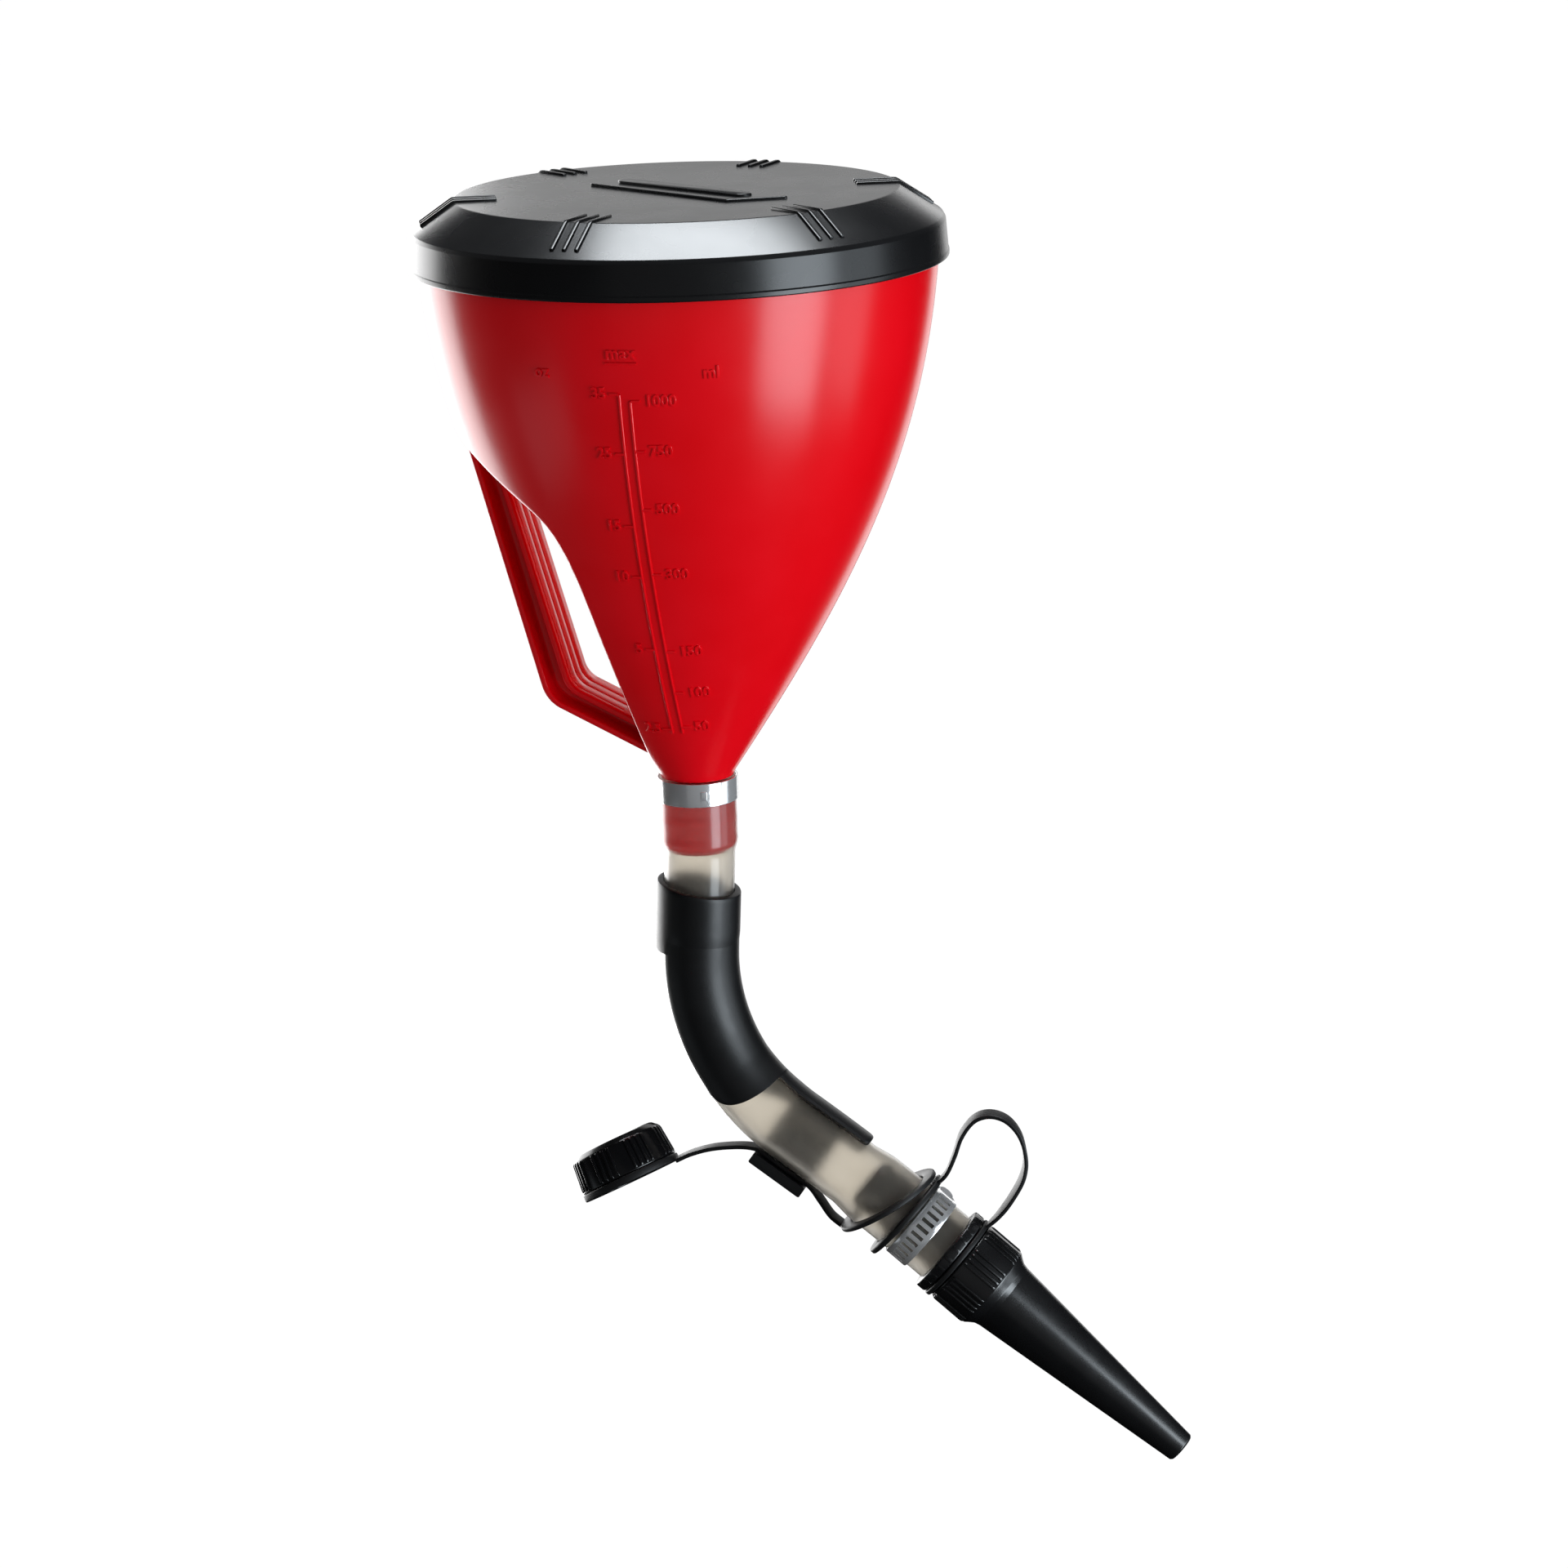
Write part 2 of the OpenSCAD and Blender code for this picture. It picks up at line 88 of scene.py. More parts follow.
# ---- helpers: outlines, grids, frames
def rounded(outline, radius, steps=4):
    """The closed outline with each corner turned into an arc, as far as its two sides allow."""
    corners = [np.array(p, float) for p in outline]
    radii = radius if hasattr(radius, "__len__") else [radius] * len(corners)
    result = []
    for i, corner in enumerate(corners):
        back, ahead = corners[i - 1] - corner, corners[(i + 1) % len(corners)] - corner
        a, b = np.linalg.norm(back), np.linalg.norm(ahead)
        half = math.acos(np.clip(back @ ahead / (a * b), -1, 1)) / 2
        if radii[i] <= 0 or half > math.radians(87):
            result.append(corner)
            continue
        reach = min(radii[i] / math.tan(half), 0.46 * a, 0.46 * b)
        start, end, w = corner + back / a * reach, corner + ahead / b * reach, math.sin(half)
        for k in range(steps + 1):
            t = k / steps
            p0, p1, p2 = (1 - t) ** 2, 2 * t * (1 - t) * w, t * t
            result.append((p0 * start + p1 * corner + p2 * end) / (p0 + p1 + p2))
    return result


def polar(r, a, z):
    """The point at radius r, angle a in radians and height z."""
    return r * math.cos(a), r * math.sin(a), z


def outward(a):
    """Unit directions away from the axis and round it, at angle a."""
    return np.array(polar(1, a, 0)), np.array([-math.sin(a), math.cos(a), 0])


def oblong(x0, y0, x1, y1):
    return [(x0, y0), (x1, y0), (x1, y1), (x0, y1)]


def grid_faces(rows, columns, wrap_rows=False, wrap_columns=True, first=0):
    """Quads over rows of points, each row of the same length."""
    faces = []
    for i in range(rows if wrap_rows else rows - 1):
        for j in range(columns if wrap_columns else columns - 1):
            k, m = (i + 1) % rows, (j + 1) % columns
            faces.append((first + i * columns + j, first + i * columns + m, first + k * columns + m,
                          first + k * columns + j))
    return faces


class Shape:
    """Points in millimetres and faces, gathered from several solids."""

    def __init__(self):
        self.points, self.faces = [], []

    def add(self, points, faces):
        first = len(self.points)
        self.points.extend(np.asarray(points, float).reshape(-1, 3).tolist())
        self.faces.extend(tuple(first + v for v in f) for f in faces)
        return self

    def join(self, other):
        return self.add(other.points, other.faces)

    def rings(self, rings, wrap_rows=False, caps=False):
        """A skin over closed rings with equal counts, with flat caps where asked."""
        rows, columns = len(rings), len(rings[0])
        faces = grid_faces(rows, columns, wrap_rows)
        if caps:
            faces.append(tuple(range(columns))[::-1])
            faces.append(tuple((rows - 1) * columns + j for j in range(columns)))
        return self.add(np.array(rings).reshape(-1, 3), faces)

    def moved(self, matrix):
        points = np.array(self.points) @ np.array(matrix)[:3, :3].T + np.array(matrix)[:3, 3]
        self.points = points.tolist()
        return self


def revolve(outline, segments, close=True):
    """An outline of (radius, height) turned about Z; close joins its last point to its first."""
    angles = np.radians(np.linspace(0, 360, segments, endpoint=False))
    return Shape().rings([[polar(r, a, z) for a in angles] for r, z in outline], wrap_rows=close)


def turned(origin, about_y, about_x=0.0, about_z=0.0):
    """A frame at origin: first turned about Z, then X, then Y."""
    rotation = (Matrix.Rotation(math.radians(about_y), 4, "Y")
                @ Matrix.Rotation(math.radians(about_x), 4, "X")
                @ Matrix.Rotation(math.radians(about_z), 4, "Z"))
    return Matrix.Translation(origin) @ rotation


def bar(section, path, normals, across, caps=True):
    """A closed section of (n, b) points swept along path; n runs along the normals and b along across."""
    rings = []
    for centre, normal in zip(path, normals):
        rings.append([np.array(centre) + np.array(normal) * n + np.array(across) * b for n, b in section])
    return Shape().rings(rings, caps=caps)


def round_box(size, centre, radius, steps=3):
    """A block with every edge rounded: a superellipsoid of rings."""
    half = np.array(size) / 2
    r = min(radius, *half * 0.98)
    flat = rounded(oblong(-half[0], -half[1], half[0], half[1]), r, steps)
    bend = np.radians(np.linspace(0, 90, steps + 1))
    levels = [(half[2] - (1 - math.cos(v)) * r, (1 - math.sin(v)) * r) for v in bend]
    rings = []
    for z, inset in [(-z, inset) for z, inset in levels] + levels[::-1]:
        rings.append([(x * (1 - inset / half[0]), y * (1 - inset / half[1]), z) for x, y in flat])
    return Shape().rings(rings, caps=True).moved(Matrix.Translation(centre))


def shade(mesh, crease):
    """Smooth shading, with sharp edges where faces meet at more than crease degrees."""
    mesh.polygons.foreach_set("use_smooth", [True] * len(mesh.polygons))
    mesh.set_sharp_from_angle(angle=math.radians(crease))


def baked(obj):
    """A new mesh of the object with its modifiers or its text applied."""
    bpy.context.view_layer.update()
    return bpy.data.meshes.new_from_object(obj.evaluated_get(bpy.context.evaluated_depsgraph_get()))


def piece(name, shape, material, body=None, nodes=(), crease=32):
    """Makes the mesh object, gives it its material and seats it on a CAD body."""
    mesh = bpy.data.meshes.new(name)
    mesh.from_pydata((np.array(shape.points) * MM).tolist(), [], shape.faces)
    net = bmesh.new()
    net.from_mesh(mesh)
    bmesh.ops.remove_doubles(net, verts=net.verts, dist=2e-6)
    bmesh.ops.dissolve_degenerate(net, edges=net.edges, dist=1e-6)
    bmesh.ops.recalc_face_normals(net, faces=net.faces)
    net.to_mesh(mesh)
    net.free()
    shade(mesh, crease)
    mesh.materials.append(material)
    obj = bpy.data.objects.new(name, mesh)
    bpy.context.scene.collection.objects.link(obj)
    if body:
        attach(obj, body)
    if nodes:
        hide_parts(*nodes)
    return obj


def skin(name, shape, material, body, cad_node, crease=32):
    """A piece that stands for one CAD node; its slot is named after its material."""
    return piece(name, shape, MAT[material], body, [cad_node], crease)


def smooth_path(points, n):
    """The Catmull-Rom curve of part.scad through the points."""
    p = [np.array(q, float) for q in points]
    result = []
    for i in range(len(p) - 1):
        a, b, c, d = p[max(i - 1, 0)], p[i], p[i + 1], p[min(i + 2, len(p) - 1)]
        for k in range(n):
            t = k / n
            result.append(0.5 * (2 * b + (c - a) * t + (2 * a - 5 * b + 4 * c - d) * t ** 2
                                 + (3 * b - a - 3 * c + d) * t ** 3))
    return result + [p[-1]]


def directions(points):
    """Unit tangents along a path."""
    p = np.array(points, float)
    t = np.gradient(p, axis=0)
    return t / np.linalg.norm(t, axis=1)[:, None]


# ---- materials
def new_material(name, color, roughness, **sockets):
    """A Principled material; sockets are constants set on the shader itself."""
    mat = bpy.data.materials.new(name)
    mat.use_nodes = True
    shader = mat.node_tree.nodes["Principled BSDF"]
    shader.inputs["Base Color"].default_value = (*color, 1)
    shader.inputs["Roughness"].default_value = roughness
    for key, value in sockets.items():
        shader.inputs[key.replace("_", " ")].default_value = value
    return mat


def node(mat, kind, **settings):
    made = mat.node_tree.nodes.new(kind)
    for key, value in settings.items():
        if key in made.inputs:
            made.inputs[key].default_value = value
        else:
            setattr(made, key, value)
    return made


def noise(mat, scale, detail=3.0, rough=0.5, stretch=(1, 1, 1)):
    """Noise in object space; the scale is in waves a metre."""
    links = mat.node_tree.links
    where = node(mat, "ShaderNodeTexCoord")
    size = node(mat, "ShaderNodeMapping", Scale=stretch)
    grain = node(mat, "ShaderNodeTexNoise", Scale=scale, Detail=detail, Roughness=rough)
    links.new(where.outputs["Object"], size.inputs["Vector"])
    links.new(size.outputs["Vector"], grain.inputs["Vector"])
    return grain.outputs["Fac"]


def link(mat, source, target):
    mat.node_tree.links.new(source, target)


def shader_input(mat, name):
    return mat.node_tree.nodes["Principled BSDF"].inputs[name]


def vary_color(mat, fac, dark, light):
    """Base colour between two near tones."""
    ramp = node(mat, "ShaderNodeValToRGB")
    ramp.color_ramp.elements[0].position, ramp.color_ramp.elements[1].position = 0.3, 0.7
    ramp.color_ramp.elements[0].color, ramp.color_ramp.elements[1].color = (*dark, 1), (*light, 1)
    link(mat, fac, ramp.inputs["Fac"])
    link(mat, ramp.outputs["Color"], shader_input(mat, "Base Color"))


def vary_roughness(mat, fac, low, high):
    """Roughness that wanders between low and high."""
    spread = node(mat, "ShaderNodeMapRange")
    spread.inputs["From Min"].default_value, spread.inputs["From Max"].default_value = 0.3, 0.7
    spread.inputs["To Min"].default_value, spread.inputs["To Max"].default_value = low, high
    link(mat, fac, spread.inputs["Value"])
    link(mat, spread.outputs["Result"], shader_input(mat, "Roughness"))


def bump(mat, fac, depth):
    """A bump of the given depth in metres."""
    made = node(mat, "ShaderNodeBump", Strength=1.0, Distance=depth)
    link(mat, fac, made.inputs["Height"])
    link(mat, made.outputs["Normal"], shader_input(mat, "Normal"))


def moulded(name, dark, light, low, high, grain, grain_depth, **sockets):
    """Moulded plastic: slow tone changes, a wandering gloss and a fine grain."""
    mat = new_material(name, light, (low + high) / 2, **sockets)
    vary_color(mat, noise(mat, 30, 2), dark, light)
    vary_roughness(mat, noise(mat, 140, 4, 0.6), low, high)
    bump(mat, noise(mat, grain, 3, 0.6), grain_depth)
    return mat


def polished(name, dark, light, low, high, **sockets):
    """Plastic from a polished mould: the tone and the gloss wander slightly, the skin is smooth."""
    mat = new_material(name, light, (low + high) / 2, **sockets)
    vary_color(mat, noise(mat, 30, 2), dark, light)
    vary_roughness(mat, noise(mat, 60, 2), low, high)
    return mat


def brushed_metal(name, color, low, high, along):
    """Rolled or turned steel: fine lines along one direction."""
    mat = new_material(name, color, (low + high) / 2, Metallic=0.75)
    lines = noise(mat, 900, 4, 0.65, stretch=along)
    vary_color(mat, noise(mat, 60, 3), tuple(c * 0.86 for c in color), color)
    vary_roughness(mat, lines, low, high)
    bump(mat, lines, 0.000006)
    return mat


def clear_plastic():
    """Softened PVC: milky and warm, with a glossy skin."""
    mat = new_material("clear_hose", (0.80, 0.76, 0.69), 0.34, Transmission_Weight=0.97, IOR=1.38,
                       Specular_IOR_Level=0.3, Coat_Weight=0.5, Coat_Roughness=0.12)
    vary_color(mat, noise(mat, 45, 2), (0.79, 0.745, 0.665), (0.83, 0.79, 0.72))
    vary_roughness(mat, noise(mat, 120, 3), 0.31, 0.37)
    bump(mat, noise(mat, 700, 2), 0.000002)
    return mat


MAT = {
    "red_moulding": polished("red_moulding", (0.72, 0.0, 0.004), (0.76, 0.0, 0.006), 0.22, 0.25,
                             Specular_IOR_Level=0.42),
    "black_lid": polished("black_lid", (0.006, 0.006, 0.0065), (0.009, 0.009, 0.0095), 0.26, 0.29,
                          Specular_IOR_Level=0.5),
    "black_matte": moulded("black_matte", (0.004, 0.004, 0.0045), (0.007, 0.007, 0.0075), 0.38, 0.44, 800,
                           0.00001, Specular_IOR_Level=0.5),
    "black_satin": moulded("black_satin", (0.004, 0.004, 0.0045), (0.007, 0.007, 0.0075), 0.25, 0.30, 900,
                           0.000001, Specular_IOR_Level=0.85),
    "cap_black": moulded("cap_black", (0.003, 0.003, 0.0035), (0.006, 0.006, 0.0065), 0.18, 0.24, 900,
                         0.000002, Specular_IOR_Level=0.5),
    "tether": moulded("tether", (0.005, 0.005, 0.0055), (0.009, 0.009, 0.0095), 0.46, 0.54, 900, 0.000003,
                      Specular_IOR_Level=0.4),
    "seal_rubber": moulded("seal_rubber", (0.012, 0.012, 0.012), (0.018, 0.018, 0.018), 0.6, 0.7, 800,
                           0.000006),
    "steel_band": brushed_metal("steel_band", (0.93, 0.93, 0.94), 0.14, 0.24, (0.3, 0.3, 1.0)),
    "steel_screw": brushed_metal("steel_screw", (0.66, 0.66, 0.67), 0.24, 0.34, (1.0, 0.3, 0.3)),
    "clear_hose": clear_plastic(),
}


# ---- bowl
def bell_curve(t):
    """Outer bell profile: one cubic curve, as (radius, height), and its direction."""
    a0, a3 = np.array([FOOT_R, 0.0]), np.array([RIM_R, BOWL_H])
    lean_foot, lean_rim = math.radians(FOOT_ANGLE), math.radians(RIM_ANGLE)
    a1 = a0 + FOOT_PULL * np.array([math.sin(lean_foot), math.cos(lean_foot)])
    a2 = a3 - RIM_PULL * np.array([math.sin(lean_rim), math.cos(lean_rim)])
    point = (1 - t) ** 3 * a0 + 3 * t * (1 - t) ** 2 * a1 + 3 * t * t * (1 - t) * a2 + t ** 3 * a3
    slope = 3 * (1 - t) ** 2 * (a1 - a0) + 6 * t * (1 - t) * (a2 - a1) + 3 * t * t * (a3 - a2)
    return point, slope / np.linalg.norm(slope)


BELL = [bell_curve(t) for t in np.linspace(0, 1, 241)]
BELL_R, BELL_Z = zip(*[p for p, _ in BELL])


def bell_radius(z):
    return float(np.interp(z, BELL_Z, BELL_R))


def bell_lean(z):
    """Outward normal of the bell as (radial, up)."""
    ahead_r, ahead_z = (float(np.interp(z, BELL_Z, [d[i] for _, d in BELL])) for i in (0, 1))
    return ahead_z, -ahead_r


def recess_table():
    """Distance of the hand recess's floor from the axis, by height, with its bends eased."""
    z = np.arange(-10, 190, 0.5)
    d = np.interp(z, *zip(*RECESS))
    window = np.hanning(17)
    eased = np.convolve(np.pad(d, 8, mode="edge"), window / window.sum(), mode="valid")
    return z, eased, np.sqrt(1 + np.gradient(eased, z) ** 2)


RECESS_Z, RECESS_D, RECESS_STRETCH = recess_table()


def eased_min(a, b, ease):
    h = max(ease - abs(a - b), 0) / ease
    return min(a, b) - h * h * ease / 4


def bell_at(r, z, azimuth, inset):
    """Radius of the wall at an azimuth, cut by the flat-floored recess; inset is the depth from outside."""
    toward = math.cos(math.radians(azimuth - 180))
    if z < 1 or z > 130 or toward < 0.1:
        return r
    floor = np.interp(z, RECESS_Z, RECESS_D) - inset * np.interp(z, RECESS_Z, RECESS_STRETCH)
    return eased_min(r, floor / toward, 2.2)


def bowl_shape():
    """The bell with its hand recess, rim bead and spigot, as one closed skin."""
    spigot = rounded([(NECK_BORE_R, -SPIGOT_LEN), (SPIGOT_R - 0.5, -SPIGOT_LEN), (SPIGOT_R, -23),
                      (RIDGE_R, -22), (SPIGOT_R, -20), (SPIGOT_R, -15.4), (RIDGE_R, -14.4),
                      (SPIGOT_R, -12.4), (SPIGOT_R, -0.6), (FOOT_R, -0.6), (FOOT_R + 0.05, -0.1)],
                     [0.6, 0.4, 0.3, 0.3, 0.6, 0.6, 0.3, 0.6, 0.3, 0.25, 0.2], 3)
    outer = [(*p, 0.0) for p, _ in BELL[2:236]]
    bead = rounded([(bell_radius(165.5), 165.5), (RIM_R + 0.45, 167.2), (RIM_R + 0.45, 170.2),
                    (RIM_R - 0.3, 171), (RIM_R - WALL + 0.3, 171), (RIM_R - WALL, 170.2)],
                   [0.4, 0.5, 0.7, 0.5, 0.5, 0.5], 3)
    inner = []
    for p, d in BELL[::-3]:
        q = p + WALL * np.array([-d[1], d[0]])
        if q[0] > NECK_BORE_R + 0.4:
            inner.append((q[0], q[1], WALL))
    profile = [(r, z, None) for r, z in spigot] + outer + [(r, z, None) for r, z in bead[1:]] + inner
    profile += [(NECK_BORE_R, -6.0, None)]
    # closer together round the recess
    azimuths = np.concatenate([np.linspace(110, 250, 260, endpoint=False),
                               np.linspace(250, 470, 170, endpoint=False)])
    rings = []
    for r, z, inset in profile:
        ring = []
        for azimuth in azimuths:
            reach = r if inset is None else bell_at(r, z, azimuth, inset)
            ring.append(polar(reach, math.radians(azimuth), z))
        rings.append(ring)
    return Shape().rings(rings, wrap_rows=True)


def on_wall(u, z, out):
    """The point at distance u round the wall from the middle of the scale, standing out from it."""
    r = bell_radius(z)
    a = math.radians(SCALE_AZ) + u / r
    radial, up = bell_lean(z)
    reach = r + out * radial
    return polar(reach, a, z + out * up)


def wall_strip(centre_line, width, rise):
    """A raised line with round shoulders along (u, z) points on the wall."""
    section = [(-0.5, -0.3), (-0.5, 0.55), (-0.34, 0.86), (-0.12, 1.0), (0.12, 1.0), (0.34, 0.86),
               (0.5, 0.55), (0.5, -0.3)]
    line = np.array(centre_line, float)
    along = directions(line)
    rings = []
    for (u, z), (du, dz) in zip(line, along):
        rings.append([on_wall(u - dz * s * width, z + du * s * width, h * rise) for s, h in section])
    return Shape().rings(rings, caps=True)


def lettering(text, u, z, height, rise):
    """Generic scale text in the built-in font, wrapped on the wall with its middle at (u, z)."""
    curve = bpy.data.curves.new("text", "FONT")
    curve.body, curve.size, curve.extrude = text, 1.0, 0.1
    curve.align_x, curve.offset, curve.resolution_u = "CENTER", 0.008, 3
    curve.bevel_depth, curve.bevel_resolution = 0.02, 1
    holder = bpy.data.objects.new("text", curve)
    bpy.context.scene.collection.objects.link(holder)
    mesh = baked(holder)
    scale = height / 0.69
    points = []
    for v in mesh.vertices:
        x, y, w = v.co
        points.append(on_wall(u + x * scale * 0.96, z + (y - 0.345) * scale, rise * (w / 0.24 + 0.5) - 0.1))
    faces = [tuple(p.vertices) for p in mesh.polygons]
    bpy.data.objects.remove(holder)
    bpy.data.curves.remove(curve)
    bpy.data.meshes.remove(mesh)
    return points, faces


def scale_shape():
    """Two upright lines, the graduations with their numbers, and the unit names."""
    shape = Shape()
    rise = 0.5

    def strip(points, width=0.85):
        made = wall_strip(points, width, rise)
        shape.join(made)

    for u, top in ((-RULE_U, OUNCES[0][0]), (RULE_U, MILLILITRES[0][0])):
        strip([(u, z) for z in np.linspace(RULE_FOOT, top, 60)])
    for side, marks in ((-1, OUNCES), (1, MILLILITRES)):
        for z, label in marks:
            strip([(side * (RULE_U + 0.2 + LINE_LEN * k / 4), z) for k in range(5)])
            gap = 1.1 + 1.28 * len(label.replace(".", ""))
            shape.add(*lettering(label, side * (RULE_U + LINE_LEN + gap), z + 0.3, 3.4, rise))
    shape.add(*lettering("oz", -26, 141, 3.6, rise))
    shape.add(*lettering("ml", 26, 141, 3.6, rise))
    shape.add(*lettering("max", -0.3, 147.4, 3.8, rise))
    strip([(u, 144.1) for u in np.linspace(-5.1, 4.4, 9)], 0.7)
    return shape


skin("bowl_shell", bowl_shape(), "red_moulding", "bowl", "bowl", crease=50)
skin("bowl_scale", scale_shape(), "red_moulding", "bowl", "bowl", crease=40)


# ---- handle
def handle_frames():
    """Stations down the slanted grip, round the corner and in to the foot: outer and inner edge points."""
    outer = rounded([(-71.3, 117.8), (-45.9, 23.9), (-9.5, 6.3), (60, -60)], [0, 11, 0, 0], 14)[:-1]
    inner = rounded([(-62.1, 117.2), (-37.2, 29.0), (-8, 15.0), (60, -60)], [0, 8, 0, 0], 14)[:-1]

    def spaced(points, knots):
        """Equal counts on each stretch, so that the two edges stay in step."""
        p = np.array(points)
        result = []
        for (a, b), n in zip(zip(knots[:-1], knots[1:]), (34, 15, 16)):
            stretch = p[a:b + 1]
            s = np.concatenate([[0], np.cumsum(np.linalg.norm(np.diff(stretch, axis=0), axis=1))])
            t = np.linspace(0, s[-1], n, endpoint=False)
            result += [(np.interp(v, s, stretch[:, 0]), np.interp(v, s, stretch[:, 1])) for v in t]
        return result + [tuple(p[-1])]

    knots = [0, 1, 15, 16]
    return list(zip(spaced(outer, knots), spaced(inner, knots)))


def handle_shape():
    """An I-section grip with round flange edges and three flat ridges on the inner face."""
    half, web, lip = 10.0, 3.0, 2.2
    rings = []
    for (xo, zo), (xi, zi) in handle_frames():
        outer, inner = np.array([xo, 0, zo]), np.array([xi, 0, zi])
        depth = np.linalg.norm(inner - outer)
        inward = (inner - outer) / depth
        side = [(0.0, half), (lip, half), (lip + 0.4, web), (depth - lip - 0.4, web), (depth - lip, half),
                (depth, half)]
        outline = rounded(side + [(n, -b) for n, b in side[::-1]],
                          [1.0, 0.7, 1.2, 1.2, 0.7, 1.0] * 2, 3)
        rings.append([outer + inward * n + np.array([0, 1, 0]) * b for n, b in outline])
    shape = Shape().rings(rings, caps=True)
    # finger ridges run along the inner face
    for y in (-5.2, 0, 5.2):
        path, normals = [], []
        for (xo, zo), (xi, zi) in handle_frames()[4:-8]:
            inward = np.array([xi - xo, 0, zi - zo])
            inward /= np.linalg.norm(inward)
            path.append(np.array([xi, y, zi]))
            normals.append(inward)
        ridge = [(-0.4, -2.3), (0.1, -2.2), (0.2, -1.8), (0.2, 1.8), (0.1, 2.2), (-0.4, 2.3)]
        made = bar(ridge, path, normals, (0, 1, 0))
        shape.join(made)
    return shape


def wall_cutter():
    """A solid just under the bell's outer skin, which trims the handle's ends inside the wall."""
    azimuths = np.linspace(0, 360, 120, endpoint=False)
    rings = []
    for p, _ in BELL[::6]:
        ring = []
        for azimuth in azimuths:
            reach = bell_at(p[0] - 0.9, p[1], azimuth, 0.9)
            ring.append(polar(reach, math.radians(azimuth), p[1]))
        rings.append(ring)
    return Shape().rings(rings, caps=True)


def handle_piece():
    grip = piece("handle_grip", handle_shape(), MAT["red_moulding"])
    cutter = piece("wall_cutter", wall_cutter(), MAT["red_moulding"])
    trim = grip.modifiers.new("trim", "BOOLEAN")
    trim.operation, trim.solver, trim.object, trim.use_self = "DIFFERENCE", "EXACT", cutter, True
    mesh = baked(grip)
    grip.modifiers.clear()
    grip.data = mesh
    shade(mesh, 40)
    bpy.data.objects.remove(cutter)
    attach(grip, "bowl")
    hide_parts("handle")


handle_piece()


# ---- lid
def lid_shape():
    lip = LID_R - LID_WALL
    outline = [(0.01, LID_TOP_Z), (LID_TOP_R - 1.2, LID_TOP_Z), (81.4, 174.9), (82.1, 173.6),
               (82.75, 164.6), (LID_R, 164.2), (LID_R, 162.6), (lip + 0.3, 162.6), (lip, 163.4), (lip, 172.8),
               (LID_TOP_R - 0.6, LID_TOP_Z - LID_WALL - 0.8), (0.01, LID_TOP_Z - LID_WALL)]
    radii = [0, 1.4, 0.7, 0.7, 0.3, 0.3, 0.5, 0.4, 0.3, 1.0, 1.5, 0]
    return revolve(rounded(outline, radii, 4), 256, close=False)


def lid_ribs():
    """Six groups of three ribs that run over the edge of the flat top and down the slope."""
    half, high = 0.65, 0.7
    slope = np.array([81.4 - LID_TOP_R + 1.2, 174.9 - LID_TOP_Z])
    slope /= np.linalg.norm(slope)
    edge = np.array([LID_TOP_R - 1.2, LID_TOP_Z])
    line = [np.array([LID_TOP_R - 14, LID_TOP_Z]), edge - [0.9, 0], edge + [0, -0.08], edge + slope * 0.9,
            edge + slope * 12.2]
    rise = [np.array([0, 1.0]), np.array([0, 1.0]), np.array([0.28, 0.96]), np.array([-slope[1], slope[0]]),
            np.array([-slope[1], slope[0]])]
    section = rounded(oblong(-0.6, -half, high, half), [0, 0.3, 0.3, 0], 3)
    shape = Shape()
    for group in range(6):
        out, side = outward(math.radians(group * 60 - 99.5))
        for k in (-1, 0, 1):
            # the path's ends are drawn in a little so that each rib has a soft end
            path = [out * r + side * k * 4.0 + UP * z for r, z in line]
            normals = [out * n[0] + UP * n[1] for n in rise]
            first, last = path[0] - out * 0.3, path[-1] + (out * slope[0] + UP * slope[1]) * 0.3
            rings = [[first + normals[0] * min(n, high * 0.5) + side * b * 0.8 for n, b in section]]
            for p, n in zip(path, normals):
                rings.append([p + n * s + side * b for s, b in section])
            rings.append([last + normals[-1] * min(n, high * 0.5) + side * b * 0.8 for n, b in section])
            shape.rings(rings, caps=True)
    return shape


def stroke(start, end, half, low, high):
    """A raised flat stroke with round ends and a softened top edge."""
    start, end = np.array(start, float), np.array(end, float)
    heading = math.atan2(*(end - start)[::-1])
    rings = []
    for shrink, z in ((0, low), (0, high - 0.3), (0.1, high - 0.1), (0.3, high)):
        ring = []
        for centre, first in ((end, -90), (start, 90)):
            for a in np.radians(np.linspace(first, first + 180, 12)) + heading:
                ring.append((*(centre + (half - shrink) * np.array([math.cos(a), math.sin(a)])), z))
        rings.append(ring)
    return Shape().rings(rings, caps=True)


def lid_emblem():
    """A plain raised bar with a bent line under it."""
    low, high = LID_TOP_Z - 0.3, LID_TOP_Z + 0.8
    shape = Shape()
    for start, end, half in (((-20, 17), (23, -9.5), 3.2), ((-29, 9.5), (22.3, -23.5), 0.9),
                             ((22.3, -23.5), (38, -15.8), 0.9)):
        made = stroke(start, end, half, low, high)
        shape.join(made)
    return shape


skin("lid_shell", lid_shape(), "black_lid", "lid", "lid", crease=38)
skin("lid_ribs", lid_ribs(), "black_lid", "lid", "lid", crease=38)
skin("lid_emblem", lid_emblem(), "black_lid", "lid", "lid", crease=38)


